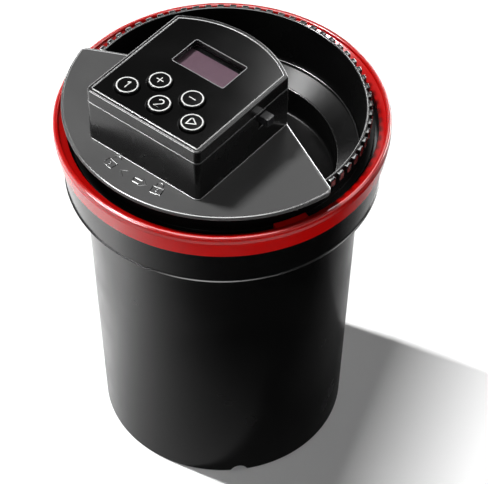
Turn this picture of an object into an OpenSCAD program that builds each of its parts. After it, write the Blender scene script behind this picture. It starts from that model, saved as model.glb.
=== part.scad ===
// Rotary film processor: a two-reel developing tank with a funnel lid and a driven agitation head.
// Millimetres. The origin is the centre of the tank's base, +Z is up and the head's front faces -Y.

/* [Tank] */
// Outer diameter of the tank at its base
tank_base_d = 96; // [90:0.5:104]
// Outer diameter of the tank just under the collar
tank_neck_d = 103.6; // [98:0.2:112]
// Thickness of the tank's side wall
tank_wall = 2.2; // [1.6:0.1:3]
// Thickness of the tank's floor
tank_floor = 2.4; // [1.6:0.1:4]
// Depth of the recess under the floor
base_recess = 2; // [1:0.1:3]
// Width of the rim that the tank stands on
base_rim_w = 4; // [3:0.1:6]
// Number of vent notches in the base rim
notch_count = 3; // [2:1:6]
// Width of a vent notch
notch_w = 6.5; // [4:0.1:9]
// Height of a vent notch
notch_h = 3; // [2:0.1:3.4]
// Direction of the first vent notch, from +X
notch_angle = -43; // [-90:1:90]
// Height of the collar's underside above the table
collar_z = 126.2; // [122:0.2:140]
// Height of the collar
collar_h = 23.1; // [21:0.1:28]
// How far the collar's foot stands out past the tank's wall
collar_step = 6.8; // [5:0.1:9]
// How much the collar widens towards its top
collar_flare = 1.7; // [0.5:0.1:3]
// Thickness of the collar's wall and shelf
collar_wall = 2.2; // [1.6:0.1:3]
// Thickness of the ledge that the lid's seal rests on
seat_t = 2.6; // [1.6:0.1:4]
// Height of the column's pivot on the floor
pivot_h = 3.8; // [3:0.1:5.5]

/* [Locking ring] */
// Height of the ring's band on the collar
ring_band_h = 7.2; // [5:0.1:10]
// How far the ring rises above the collar
ring_rise = 3.1; // [2.6:0.1:5]
// Thickness of the ring's skirt at its lower edge
ring_skirt = 0.65; // [0.5:0.05:1.5]
// How much the ring's band widens upwards
ring_flare = 1; // [0.4:0.1:2]
// Diameter of the rolled bead
bead_d = 2; // [1.4:0.1:2.4]
// Thickness of the ring's inner lip
ring_lip = 0.8; // [0.5:0.1:1.5]
// Number of bayonet lugs
lug_count = 3; // [2:1:4]
// Width of a lug round the ring, in degrees
lug_arc = 13; // [8:1:18]
// Direction of the lug at the front, from +X
lug_angle = -25; // [-45:1:0]
// How far a lug reaches inwards
lug_depth = 2.6; // [1.8:0.1:3]
// Thickness of a lug
lug_t = 2; // [1.4:0.1:2.6]

/* [Funnel lid] */
// How far the funnel's rim rises above the collar
funnel_rise = 8.3; // [6:0.1:12]
// Thickness of the funnel's walls
funnel_wall = 1.4; // [1.2:0.1:2]
// Gap between the teeth and the ring's lip
rim_gap = 2.4; // [1.8:0.1:3.5]
// Thickness of the rim behind the teeth
rim_t = 0.9; // [0.8:0.1:1.6]
// Number of grip teeth on the rim
tooth_count = 72; // [48:1:90]
// Width of a grip tooth
tooth_w = 2.6; // [1.6:0.1:3]
// How far a grip tooth stands out
tooth_depth = 1.4; // [0.8:0.1:2]
// Height of a grip tooth
tooth_h = 3.4; // [2:0.1:6]
// Depth of the bowl from its rim to the ledge
bowl_depth = 21.2; // [18:0.1:24]
// How much the bowl narrows down to the ledge
bowl_taper = 1.4; // [0.5:0.1:3]
// Width of the sloping ledge
ledge_w = 8.6; // [5:0.1:12]
// Drop of the sloping ledge
ledge_drop = 4; // [2:0.1:6]
// Depth of the well below the ledge
well_depth = 11.7; // [8:0.1:14]
// Drop of the well's floor to the throat
cone_drop = 3; // [1:0.1:5]
// Thickness of the throat tube's wall
tube_wall = 1.5; // [1:0.1:2]
// Length of the throat tube inside the column
tube_overlap = 24; // [18:0.5:30]
// Thickness of the lid's flange
flange_t = 2; // [1.4:0.1:2.6]
// Thickness of the lid's seal
seal_t = 1.5; // [1:0.1:2]
// Turn of the lid from locked to free, in degrees
lid_turn = 30; // [20:1:45]
// Depth of the keeper lugs that hold the head
keeper_depth = 2; // [1.4:0.1:2.6]
// Thickness of a keeper lug
keeper_t = 2; // [1.4:0.1:3]
// Distance of the keeper lugs below the rim
keeper_drop = 7; // [5:0.1:9]
// Width of a keeper lug and of its hook, in degrees
keeper_arc = 12; // [8:1:16]
// Direction of the keepers to each side of the front, in degrees
keeper_angle = 66; // [50:1:68]

/* [Head plate] */
// How far the plate's edge stands out past the grip teeth
plate_overhang = 5.1; // [3:0.1:6]
// Distance of the centre of the plate's arc behind the tank's axis
plate_back = 2; // [0:0.1:3]
// Thickness of the plate
plate_t = 1.6; // [1.2:0.1:2.4]
// Half of the plate's arc, in degrees from the front
plate_half_arc = 78; // [72:1:85]
// Radius of the plate's rounded tips
tip_r = 3; // [1:0.1:5]
// Wall of the hooks under the plate
hook_wall = 1.8; // [1.4:0.1:3]

/* [Control box] */
// Width of the box
box_w = 51.5; // [48:0.5:56]
// Distance from the tank's axis to the box's front
box_front = 44.5; // [42:0.5:46]
// Distance from the tank's axis back to the box's rear corners
box_rear = 5.5; // [4.5:0.5:8]
// How far the rear wall bulges behind its corners
box_bulge = 8.6; // [7:0.1:12]
// Height of the box on the plate
box_h = 23.5; // [23:0.1:28]
// Height of the upper shell
cap_h = 5.5; // [4.8:0.1:6]
// Thickness of the box's walls
box_wall = 1.8; // [1.4:0.1:2.2]
// Thickness of the top under the fascia
top_t = 1.5; // [1.2:0.1:2]
// Radius of the front corners
corner_r = 2.2; // [1.9:0.1:3.5]
// Width of the border round the fascia
fascia_border = 1.6; // [1.2:0.1:2.5]
// Thickness of the fascia
fascia_t = 0.8; // [0.5:0.1:1]
// Depth of the tongue between the two shells
tongue_h = 1.5; // [1:0.1:2.5]
// Thickness of the tongue
tongue_t = 1.2; // [0.8:0.1:1.4]
// Radius of the posts that hold the shells together
post_r = 2.4; // [2:0.1:2.6]
// Place of the rear posts, behind the tank's axis where it is above 0
rear_post_y = -0.8; // [-1.2:0.1:-0.4]

/* [Display and buttons] */
// Width of the window
window_w = 23; // [18:0.1:24]
// Height of the window
window_h = 13.4; // [10:0.1:14]
// Distance of the window's centre in front of the tank's axis
window_y = 7; // [6:0.1:8]
// How far the pane laps under the top round the window
pane_lap = 1.4; // [0.8:0.1:1.8]
// Thickness of the pane
pane_t = 0.8; // [0.5:0.1:1]
// Width of the display module past each side of the window
module_side = 2.2; // [1.8:0.1:2.4]
// Depth of the display module past the window, front and back
module_end = 3.2; // [2:0.1:3.4]
// Thickness of the display module
module_t = 2.7; // [2:0.1:3]
// Diameter of a button
button_d = 8.7; // [6:0.1:9]
// How far a button stands above the fascia
button_proud = 1; // [0.9:0.1:2]
// Spacing of neighbouring buttons across the box
button_pitch = 7.4; // [7:0.05:7.6]
// Distance of the front buttons in front of the tank's axis
front_row_y = 34.4; // [34:0.1:35.5]
// Distance of the rear buttons in front of the tank's axis
rear_row_y = 25.3; // [25:0.1:26]
// Travel of a button
button_travel = 0.8; // [0.4:0.1:0.8]
// Side of a square key switch
key_w = 6; // [5:0.1:6.5]
// Height of a key switch
key_h = 3.5; // [3:0.1:3.6]

/* [Board and power] */
// Distance from the underside of the top to the board
board_drop = 6.3; // [6.2:0.1:6.6]
// Thickness of the board
board_t = 1.6; // [1:0.1:1.6]
// Distance of the board's rear edge behind the tank's axis
board_rear = 6.2; // [5:0.1:6.5]
// Length of the battery cell
cell_l = 30; // [24:0.5:32]
// Width of the battery cell
cell_w = 20; // [15:0.5:21]
// Thickness of the battery cell
cell_t = 8; // [5:0.1:9]
// Width of the charging socket
socket_w = 9; // [8:0.1:10]
// Depth of the charging socket
socket_l = 7.3; // [6.5:0.1:8]
// Height of the charging socket
socket_h = 3.2; // [3:0.1:3.6]
// Distance of the slide switch and the charging socket in front of the tank's axis
switch_y = 9.2; // [9:0.1:11.5]
// Side of the slide switch's knob
knob_w = 3.6; // [2.5:0.1:4]
// How far the knob stands out of the wall
knob_out = 4; // [2:0.1:5]
// Travel of the slide switch
knob_travel = 2.4; // [1.5:0.1:2.4]
// Distance from the top of the knob's slot to the seam of the shells
slot_drop = 1; // [0.8:0.1:1.2]

/* [Drive] */
// Depth of the pod under the plate
pod_h = 21; // [20.8:0.1:23]
// Thickness of the pod's wall
pod_wall = 1.8; // [1.4:0.1:2.4]
// Thickness of the pod's floor
pod_floor = 2.2; // [1.6:0.1:2.4]
// Length of the pod's nose round the spindle
nose_h = 8; // [7:0.1:10]
// Gear module: pitch diameter divided by the number of teeth
gear_module = 0.6; // [0.5:0.01:0.62]
// Number of teeth on the drive gear
gear_teeth = 24; // [22:2:26]
// Number of teeth on the motor's pinion
pinion_teeth = 12; // [12:1:14]
// Width of the gear teeth
gear_h = 4.4; // [3:0.1:4.6]
// Thickness of the gear plate
gear_plate_t = 1.5; // [1:0.1:1.5]
// Diameter of the spindle
spindle_d = 6; // [5:0.1:6.4]
// Wall of the spindle's bushes
bush_wall = 1.4; // [1:0.1:1.5]
// Width of the motor
motor_w = 12; // [11:0.1:12.4]
// Depth of the motor between its flats
motor_flat = 10; // [9:0.1:10.2]
// Length of the motor's gearbox
gearbox_h = 9; // [8:0.1:9.2]
// Length of the motor's can
can_h = 15; // [12:0.1:15.4]
// Diameter of the motor's shaft
shaft_d = 3; // [2.5:0.1:3.2]
// Length of the coupler's vanes below the throat tube
vane_reach = 16; // [12:0.5:18]
// Thickness of the coupler's vanes
vane_t = 2.4; // [1.8:0.1:3]

/* [Column and reels] */
// Outer diameter of the column
column_d = 33; // [31:0.5:34]
// Thickness of the column's wall
column_wall = 1.8; // [1.4:0.1:2.4]
// Height of the column's foot above its lower end
foot_rise = 6; // [5.8:0.1:9]
// Thickness of the column's foot
foot_t = 2.4; // [1.6:0.1:3]
// Width of the foot past the column
foot_w = 7.5; // [4:0.1:10]
// Gap between the reels and the tank's wall at its floor
reel_gap = 1.6; // [1:0.1:3]
// Width of the film that the reels take
film_w = 35; // [33:0.1:36]
// Thickness of a reel's flange
reel_flange_t = 1.8; // [1.4:0.1:2.4]
// Thickness of a reel's inner and outer sleeves
sleeve_t = 1.5; // [1.2:0.1:2]
// Pitch of the spiral groove
spiral_pitch = 3; // [2.4:0.1:3.6]
// Turns of the spiral groove
spiral_turns = 6; // [4:1:6]
// Height of the spiral's rib
rib_h = 2.4; // [1.6:0.1:3]
// Thickness of the spiral's rib
rib_t = 0.9; // [0.7:0.1:1.2]
// Twist of a reel's upper half to each side, in degrees
reel_twist = 20; // [10:1:25]
// Thickness of the clip above the reels
clip_t = 3; // [2:0.1:4]

/* [Fits] */
// Radial clearance of a running fit
run_fit = 0.05; // [0.02:0.01:0.08]
// Clearance between pieces that only locate each other
loose_fit = 0.3; // [0.2:0.05:0.4]
// Clearance of flat faces that turn on each other
face_gap = 0.1; // [0.05:0.05:0.2]

/* [Hidden] */
$fn = 96;
// Overshoot of a cut past the face that it opens
cut = 1;
// Clearance of screw heads, boards and gears from their neighbours
slack = 0.4;
// Height and radius of the pan heads of the larger screws
pan_h = 1.4;
pan_r = 2;
// Height of the heads of the smaller screws
small_head_h = 1;
// Smallest radius left on an inner corner
sharp_r = 0.1;

// Tank levels and radii
base_r = tank_base_d / 2;
neck_r = tank_neck_d / 2;
floor_z = base_recess + tank_floor;
tank_h = collar_z + collar_h;
shelf_z = collar_z + collar_wall;
collar_low_r = neck_r + collar_step;
collar_r = collar_low_r + collar_flare;
collar_in_r = collar_r - collar_wall;
ring_seat_z = tank_h - ring_band_h;
function tank_r(z) = base_r + (neck_r - base_r) * z / collar_z;

// Locking ring levels and radii
ring_low_r = collar_r + run_fit + ring_skirt;
ring_r = ring_low_r + ring_flare;
ring_in_r = collar_in_r - ring_lip;
ring_top_z = tank_h + ring_rise;
bead_r = bead_d / 2;
lug_lift = 0.2;
lug_top_z = tank_h + lug_lift;
lug_z = lug_top_z - lug_t;
lug_in_r = ring_in_r - lug_depth;
lip_z = lug_z - lug_lift;
slope_z = lug_top_z + lug_lift;
lug_pitch = 360 / lug_count;
gate_arc = lug_arc + 4;

// Lid levels and radii
rim_z = tank_h + funnel_rise;
tooth_tip_r = ring_in_r - rim_gap;
tooth_root_r = tooth_tip_r - tooth_depth;
rim_in_r = tooth_root_r - rim_t;
ledge_z = rim_z - bowl_depth;
ledge_r = rim_in_r - bowl_taper;
well_top_z = ledge_z - ledge_drop;
well_r = ledge_r - ledge_w;
well_z = well_top_z - well_depth;
throat_z = well_z - cone_drop;
function bowl_r(z) = ledge_r + bowl_taper * (z - ledge_z) / bowl_depth;
flange_top_z = lug_z - loose_fit;
flange_z = flange_top_z - flange_t;
flange_inset = 1.3;
flange_r = ring_in_r - flange_inset;
seat_z = flange_z - seal_t;
seal_in_r = bowl_r(flange_z) + funnel_wall + face_gap;
seat_in_r = seal_in_r + loose_fit;
keeper_top_z = rim_z - keeper_drop;
keeper_z = keeper_top_z - keeper_t;
keeper_in_r = bowl_r(keeper_z) - keeper_depth;

// Column and throat tube
column_r = column_d / 2;
column_in_r = column_r - column_wall;
throat_gap = 0.5;
tube_r = column_in_r - throat_gap;
tube_in_r = tube_r - tube_wall;
column_z = floor_z + loose_fit;
column_head_gap = 3;
column_top_z = throat_z - funnel_wall - column_head_gap;
tube_z = column_top_z - tube_overlap;
foot_z = column_z + foot_rise;
foot_top_z = foot_z + foot_t;
pivot_r = column_in_r - loose_fit;

// Head plate and hooks
plate_r = tooth_tip_r + plate_overhang;
plate_z = rim_z + face_gap;
plate_top_z = plate_z + plate_t;
edge_drop = 0.6;
edge_run = 2;
// How far the rounded tips stand past the edges that they blend
tip_blend = 0.02;
hook_r = keeper_in_r - loose_fit;
hook_in_r = hook_r - hook_wall;
toe_top_z = keeper_z - loose_fit;
toe_z = toe_top_z - keeper_t;
toe_r = bowl_r(toe_z) - 2 * loose_fit;

// Control box
box_top_z = plate_top_z + box_h;
seam_z = box_top_z - cap_h;
top_under_z = box_top_z - fascia_t - top_t;
arc_r = (pow(box_w / 2, 2) + pow(box_bulge, 2)) / (2 * box_bulge);
arc_y = box_rear + box_bulge - arc_r;
inner_x = box_w / 2 - box_wall;
post_x = inner_x - post_r - face_gap;
front_post_y = box_front - box_wall - post_r - 2 * face_gap;
case_posts = [[post_x, -front_post_y], [-post_x, -front_post_y],
    [post_x, rear_post_y], [-post_x, rear_post_y]];
case_screw_d = 2.5;
case_screw_in = 10;
case_hole_r = case_screw_d / 2 + run_fit;
case_hole_in = case_screw_in + 2;

// Buttons, display and board
buttons = [[-2 * button_pitch, -front_row_y], [0, -front_row_y], [2 * button_pitch, -front_row_y],
    [-button_pitch, -rear_row_y], [button_pitch, -rear_row_y]];
button_r = button_d / 2;
button_hole_r = button_r + loose_fit;
button_lip = 0.9;
button_flange_r = button_r + button_lip;
button_flange_t = 0.9;
stem_r = 1.7;
stem_dip = 0.5;
board_top_z = top_under_z - board_drop;
board_z = board_top_z - board_t;
board_x = post_x - post_r - slack;
board_front = box_front - box_wall - slack;
button_flange_z = top_under_z - loose_fit - button_flange_t;
key_top_z = board_top_z + key_h;
key_bore_r = stem_r + face_gap;
stem_z = key_top_z - stem_dip;
pane_z = top_under_z - pane_t;
module_z = pane_z - module_t;
module_x = window_w / 2 + module_side;
module_y = window_h / 2 + module_end;
boss_r = 1.9;
boss_gap = 0.6;
boss_x = board_x - boss_r - face_gap;
boss_front = -window_y - module_y - boss_r - boss_gap;
boss_back = board_rear - boss_r - boss_gap;
board_bosses = [[boss_x, boss_front], [-boss_x, boss_front], [boss_x, boss_back], [-boss_x, boss_back]];
board_screw_d = 2;
board_screw_l = 5;
board_hole_r = board_screw_d / 2 + run_fit;

// Slide switch and charging socket
slot_top_z = seam_z - slot_drop;
knob_top_z = slot_top_z - loose_fit;
knob_z = knob_top_z - knob_w;
slot_z = knob_z - knob_travel - loose_fit;
switch_depth = 4.4;
switch_skin = 1.2;
switch_x = inner_x - switch_depth;
switch_half = 5.4;
switch_end = 0.8;
shoe_lap = 1.2;
shoe_half = knob_w / 2 + shoe_lap;
shoe_t = 1.9;
shoe_x = switch_x + switch_skin;
socket_x = -box_w / 2 + slack;
socket_margin = 1;
socket_z = board_z - socket_h;

// Drive
gear_c = gear_module * (gear_teeth + pinion_teeth) / 2;
addendum = 0.8;
dedendum = 1.1;
pressure_angle = 20;
gear_tip_r = gear_module * (gear_teeth / 2 + addendum);
pod_y = -gear_c / 2;
gear_screw_d = 2;
gear_boss_wall = 1;
gear_boss_r = gear_screw_d / 2 + gear_boss_wall;
gear_head_r = 1.8;
gear_screw_in = 4;
gear_hole_r = gear_screw_d / 2 + run_fit;
gear_screw_x = gear_tip_r + gear_boss_r + slack;
motor_reach = norm([motor_w / 2, gear_c / 2 + motor_flat / 2]);
pod_step = 1.2;
pod_play = 0.7;
pod_low_r = max(gear_tip_r + gear_c / 2, gear_screw_x + gear_boss_r, motor_reach - pod_step) + pod_play;
pod_in_r = pod_low_r + pod_step;
pod_r = pod_in_r + pod_wall;
pod_z = plate_z - pod_h;
pod_in_z = pod_z + pod_floor;
nose_z = pod_z - nose_h;
spindle_r = spindle_d / 2;
bush_r = spindle_r + run_fit + bush_wall;
bush_lip = 0.9;
bush_flange_r = bush_r + bush_lip;
bush_flange_t = 1;
gear_z = pod_in_z + bush_flange_t + slack;
gear_top_z = gear_z + gear_h;
gear_plate_z = gear_top_z + small_head_h + slack;
motor_z = gear_plate_z + gear_plate_t;
can_z = motor_z + gearbox_h;
seal_step = 1.2;
seal_r = bush_r + seal_step;
seal_h = 3;
nose_wall = 1.6;
nose_r = seal_r + nose_wall;
clip_z = motor_z + bush_flange_t + loose_fit;
spindle_clip_t = 0.8;
clip_groove = 0.6;
clip_w = 1.4;
clip_mouth = 0.6 * spindle_r;
spindle_end = 1.6;
spindle_top_z = clip_z + spindle_clip_t + spindle_end;
spindle_reach = 1;
spindle_z = tube_z - spindle_reach;
shaft_r = shaft_d / 2;
shaft_hole_r = shaft_r + 0.8;
shaft_in = 4;
shaft_top_z = motor_z + shaft_in;
motor_screw_r = 0.8;
motor_screw_in = 2.4;
motor_head_r = 1.2;
motor_screw_x = 0.37 * motor_w;
ear_r = 2.7;
ear_t = 3;
pod_head_r = 2;
ear_ring = pod_r + pod_head_r + loose_fit;
ear_angle = 30;
ears = [for (a = [ear_angle, 180 - ear_angle, 180 + ear_angle, 360 - ear_angle])
    [ear_ring * cos(a), pod_y + ear_ring * sin(a)]];
plate_boss_r = 2.8;
plate_boss_h = 4;
pod_screw_d = 2.2;
pod_screw_in = plate_t + 3;
pod_hole_r = pod_screw_d / 2 + run_fit;
hub_wall = 1.8;
hub_r = spindle_r + hub_wall;
hub_below = 3;
hub_above = 9;
hub_z = tube_z - hub_below;
hub_top_z = tube_z + hub_above;
vane_gap = 1;
vane_above = 6;
vane_r = tube_in_r - vane_gap;
vane_z = tube_z - vane_reach;
pin_r = 1;
pin_above = 4;
pin_z = tube_z + pin_above;
drive_rib_lap = 2.4;
drive_rib_in_r = vane_r - drive_rib_lap;
drive_rib_t = 2;
drive_rib_foot = 4;
drive_rib_head = 1.5;
drive_rib_play = 1;
drive_rib_angle = asin((vane_t / 2 + drive_rib_t / 2 + slack) / vane_r) + drive_rib_play;
drain_foot = 1;
drain_head = 0.8;
drain_arc = 40;

// Reels
reel_r = tank_r(floor_z) - tank_wall - reel_gap;
film_play = 0.4;
reel_play = 0.4;
reel_h = film_w + film_play + 2 * reel_flange_t;
reel_1_z = foot_top_z;
reel_2_z = reel_1_z + reel_h + reel_play;
column_clip_z = reel_2_z + reel_h + reel_play;
column_clip_w = 4.5;
column_clip_mouth = 4;
sleeve_in_r = column_r + loose_fit;
sleeve_r = sleeve_in_r + sleeve_t;
over_in_r = sleeve_r + loose_fit;
over_r = over_in_r + sleeve_t;
spiral_edge = 0.6;
spiral_r = reel_r - spiral_pitch * spiral_turns - rib_t - spiral_edge;
sleeve_end = 1;
stop_inset = 0.2;
stop_play = 0.5;
stop_arc = 10;
stop_gate_arc = stop_arc + 2 * reel_twist + 2;
stop_h = 4;
stop_drop = 12;

module tube(r_out, r_in, z0, z1) {
    translate([0, 0, z0])
        difference() {
            cylinder(h = z1 - z0, r = r_out);
            translate([0, 0, -cut]) cylinder(h = z1 - z0 + 2 * cut, r = r_in);
        }
}

module rod(r, z0, z1) {
    translate([0, 0, z0]) cylinder(h = z1 - z0, r = r);
}

// A block round part of a circle, centred on the direction a
module sector(r_in, r_out, z0, z1, a, arc) {
    rotate([0, 0, a - arc / 2])
        rotate_extrude(angle = arc)
            translate([r_in, z0]) square([r_out - r_in, z1 - z0]);
}

module block(x0, x1, y0, y1, z0, z1) {
    translate([x0, y0, z0]) cube([x1 - x0, y1 - y0, z1 - z0]);
}

// A pan-head screw that points up, with its head under z = 0 and a cross recess
module screw(d, l, head_r, head_h) {
    slot_l = 1.2 * head_r;
    slot_w = 0.24 * head_r;
    difference() {
        union() {
            cylinder(h = l, r = d / 2);
            translate([0, 0, -head_h]) cylinder(h = head_h, r = head_r);
        }
        for (a = [0, 90])
            rotate([0, 0, a])
                translate([-slot_l / 2, -slot_w / 2, -head_h - cut])
                    cube([slot_l, slot_w, cut + head_h / 2]);
    }
}

// Outline of the control box, moved inwards by the inset
module box_outline(inset) {
    w = box_w - 2 * inset;
    front = box_front - inset;
    r = max(corner_r - inset, sharp_r);
    intersection() {
        union() {
            translate([-w / 2, -front + r]) square([w, front + box_rear + box_bulge]);
            translate([-w / 2 + r, -front]) square([w - 2 * r, 2 * r]);
            for (s = [-1, 1])
                translate([s * (w / 2 - r), -front + r]) circle(r);
        }
        translate([0, arc_y]) circle(arc_r - inset, $fn = 180);
    }
}

// Outline of the fan-shaped plate with rounded tips
module fan_outline() {
    mid = [0, plate_back];
    spoke = [sin(plate_half_arc), -cos(plate_half_arc)];
    corner = [box_w / 2, box_rear - edge_drop];
    tip = mid + plate_r * spoke;
    along = (tip - corner) / norm(tip - corner);
    root = corner - along * edge_run;
    inward = [along[1], -along[0]];
    start = corner + inward * tip_r - mid;
    reach = -start * along + sqrt(pow(start * along, 2) - start * start + pow(plate_r - tip_r, 2));
    centre = mid + start + along * reach;
    far = 1.2 * plate_r;
    difference() {
        intersection() {
            translate(mid) circle(plate_r, $fn = 180);
            polygon([tip, root, [-root[0], root[1]], [-tip[0], tip[1]], [-far, tip[1]],
                [-far, -far], [far, -far], [far, tip[1]]]);
        }
        for (s = [0, 1])
            mirror([s, 0])
                polygon([centre, centre - inward * tip_r, mid + far * spoke,
                    mid + (centre - mid) * plate_r / (plate_r - tip_r)]);
    }
    for (s = [0, 1])
        mirror([s, 0])
            translate(centre) circle(tip_r + tip_blend);
    box_outline(0);
}

module tank_body() {
    color("#232323")
        difference() {
            union() {
                rotate_extrude($fn = 180)
                    polygon([[0, base_recess], [base_r - base_rim_w, base_recess], [base_r - base_rim_w, 0],
                        [base_r, 0], [neck_r, collar_z], [collar_low_r, collar_z], [collar_r, ring_seat_z],
                        [collar_r, tank_h], [collar_in_r, tank_h], [collar_in_r, seat_z], [seat_in_r, seat_z],
                        [seat_in_r, seat_z - seat_t], [collar_in_r - collar_flare, shelf_z],
                        [neck_r - tank_wall, shelf_z], [tank_r(floor_z) - tank_wall, floor_z], [0, floor_z]]);
                tube(pivot_r, pivot_r - tank_wall, floor_z - cut, floor_z + pivot_h);
            }
            for (k = [0:notch_count - 1])
                rotate([0, 0, notch_angle + k * 360 / notch_count])
                    translate([base_r - base_rim_w - cut, 0, notch_h - notch_w / 2])
                        rotate([0, 90, 0]) cylinder(h = base_rim_w + 2 * cut, r = notch_w / 2);
        }
}

module locking_ring() {
    skirt_in_r = collar_r + run_fit;
    lip_r = collar_in_r - run_fit;
    bead_z = ring_top_z - bead_r;
    color("#c01010") {
        rotate_extrude($fn = 180)
            union() {
                polygon([[skirt_in_r, ring_seat_z], [ring_low_r, ring_seat_z], [ring_r, tank_h],
                    [ring_r - bead_r / 2, bead_z - bead_r * 0.8], [ring_r - bead_r, bead_z],
                    [ring_r - 1.7 * bead_r, bead_z], [ring_in_r, slope_z], [ring_in_r, lip_z], [lip_r, lip_z],
                    [lip_r, tank_h], [skirt_in_r, tank_h]]);
                translate([ring_r - bead_r, bead_z]) circle(bead_r, $fn = 48);
            }
        for (k = [0:lug_count - 1])
            sector(lug_in_r, ring_in_r + ring_lip / 2, lug_z, lug_top_z, lug_angle + k * lug_pitch, lug_arc);
    }
}

module funnel_lid() {
    color("#2a2a2a") {
        difference() {
            rotate_extrude($fn = 180)
                polygon([[rim_in_r, rim_z], [ledge_r, ledge_z], [well_r, well_top_z], [well_r, well_z],
                    [tube_in_r, throat_z], [tube_in_r, tube_z], [tube_r, tube_z],
                    [tube_r, throat_z - funnel_wall], [well_r + funnel_wall, well_z - funnel_wall],
                    [well_r + funnel_wall, well_top_z - funnel_wall],
                    [ledge_r + funnel_wall, ledge_z - funnel_wall],
                    [bowl_r(flange_z) + funnel_wall, flange_z], [flange_r, flange_z],
                    [flange_r, flange_top_z],
                    [bowl_r(flange_top_z) + funnel_wall, flange_top_z],
                    [bowl_r(rim_z - tooth_h) + funnel_wall, rim_z - tooth_h],
                    [tooth_root_r, rim_z - tooth_h], [tooth_root_r, rim_z]]);
            for (k = [0:lug_count - 1])
                sector(lug_in_r - loose_fit, flange_r + cut, flange_z - cut, flange_top_z + cut,
                    lug_angle - lid_turn + k * lug_pitch, gate_arc);
        }
        translate([0, 0, rim_z - tooth_h])
            linear_extrude(tooth_h)
                for (k = [0:tooth_count - 1])
                    rotate(k * 360 / tooth_count)
                        translate([tooth_root_r - rim_t / 2, -tooth_w / 2])
                            square([tooth_depth + rim_t / 2, tooth_w]);
        for (s = [-1, 1])
            sector(keeper_in_r, bowl_r(keeper_z) + funnel_wall / 2, keeper_z, keeper_top_z,
                -90 + s * keeper_angle, keeper_arc);
    }
}

module lid_seal() {
    color("#101010")
        tube(flange_r - face_gap, seal_in_r, seat_z, flange_z);
}

module base_plate() {
    color("#3c3c3c") {
        difference() {
            union() {
                translate([0, 0, plate_z]) linear_extrude(plate_t) fan_outline();
                for (p = ears)
                    translate([p[0], p[1], 0]) rod(plate_boss_r, plate_z, plate_top_z + plate_boss_h);
            }
            for (p = ears)
                translate([p[0], p[1], plate_z - cut])
                    cylinder(h = pod_screw_in + slack + cut, r = pod_hole_r);
            for (p = case_posts)
                translate([p[0], p[1], plate_z - cut]) cylinder(h = plate_t + 2 * cut, r = case_hole_r);
            block(-motor_w / 2 - loose_fit, motor_w / 2 + loose_fit, -gear_c - motor_flat / 2 - loose_fit,
                -gear_c + motor_flat / 2 + loose_fit, plate_z - cut, plate_top_z + cut);
        }
        for (s = [-1, 1]) {
            sector(hook_in_r, hook_r, toe_z, plate_z + plate_t / 2, -90 + s * keeper_angle, keeper_arc);
            sector(hook_in_r, toe_r, toe_z, toe_top_z, -90 + s * keeper_angle, keeper_arc);
        }
    }
}

module lower_housing() {
    color("#1b1b1b")
        difference() {
            translate([0, 0, plate_top_z])
                linear_extrude(seam_z - plate_top_z)
                    difference() {
                        box_outline(0);
                        box_outline(box_wall);
                    }
            block(inner_x - cut, box_w / 2 + cut, -switch_y - knob_w / 2 - loose_fit,
                -switch_y + knob_w / 2 + loose_fit, slot_z, slot_top_z);
            block(-box_w / 2 - cut, -inner_x + cut, -switch_y - socket_w / 2 - face_gap,
                -switch_y + socket_w / 2 + face_gap, socket_z - face_gap, socket_z + socket_h + face_gap);
        }
}

module upper_housing() {
    color("#1b1b1b")
        difference() {
            union() {
                translate([0, 0, top_under_z]) linear_extrude(top_t) box_outline(0);
                translate([0, 0, seam_z])
                    linear_extrude(cap_h)
                        difference() {
                            box_outline(0);
                            box_outline(fascia_border);
                        }
                difference() {
                    translate([0, 0, seam_z - tongue_h])
                        linear_extrude(top_under_z - seam_z + tongue_h)
                            difference() {
                                box_outline(box_wall + face_gap);
                                box_outline(box_wall + face_gap + tongue_t);
                            }
                    block(switch_x - loose_fit, box_w / 2, -switch_y - switch_half - loose_fit,
                        -switch_y + switch_half + loose_fit, seam_z - tongue_h - cut, seam_z);
                }
                translate([0, 0, seam_z])
                    linear_extrude(top_under_z - seam_z)
                        difference() {
                            box_outline(fascia_border - cut / 2);
                            box_outline(box_wall + face_gap + tongue_t / 2);
                        }
                for (p = case_posts)
                    translate([p[0], p[1], 0]) rod(post_r, plate_top_z, top_under_z + top_t / 2);
                for (p = board_bosses)
                    translate([p[0], p[1], 0]) rod(boss_r, board_top_z, top_under_z + top_t / 2);
            }
            for (p = case_posts)
                translate([p[0], p[1], plate_top_z - cut]) cylinder(h = case_hole_in + cut, r = case_hole_r);
            for (p = board_bosses)
                translate([p[0], p[1], board_top_z - cut])
                    cylinder(h = board_screw_l + cut, r = board_hole_r);
            for (p = buttons)
                translate([p[0], p[1], top_under_z - cut]) cylinder(h = top_t + 2 * cut, r = button_hole_r);
            block(-window_w / 2, window_w / 2, -window_y - window_h / 2, -window_y + window_h / 2,
                top_under_z - cut, box_top_z + cut);
        }
}

module fascia_panel() {
    color("#161616")
        translate([0, 0, box_top_z - fascia_t])
            linear_extrude(fascia_t)
                difference() {
                    box_outline(fascia_border + face_gap);
                    for (p = buttons)
                        translate(p) circle(button_hole_r);
                    translate([-window_w / 2, -window_y - window_h / 2]) square([window_w, window_h]);
                }
}

module display_window() {
    x = window_w / 2 + pane_lap;
    y = window_h / 2 + pane_lap;
    color("#8a7884")
        block(-x, x, -window_y - y, -window_y + y, pane_z, top_under_z);
}

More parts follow.
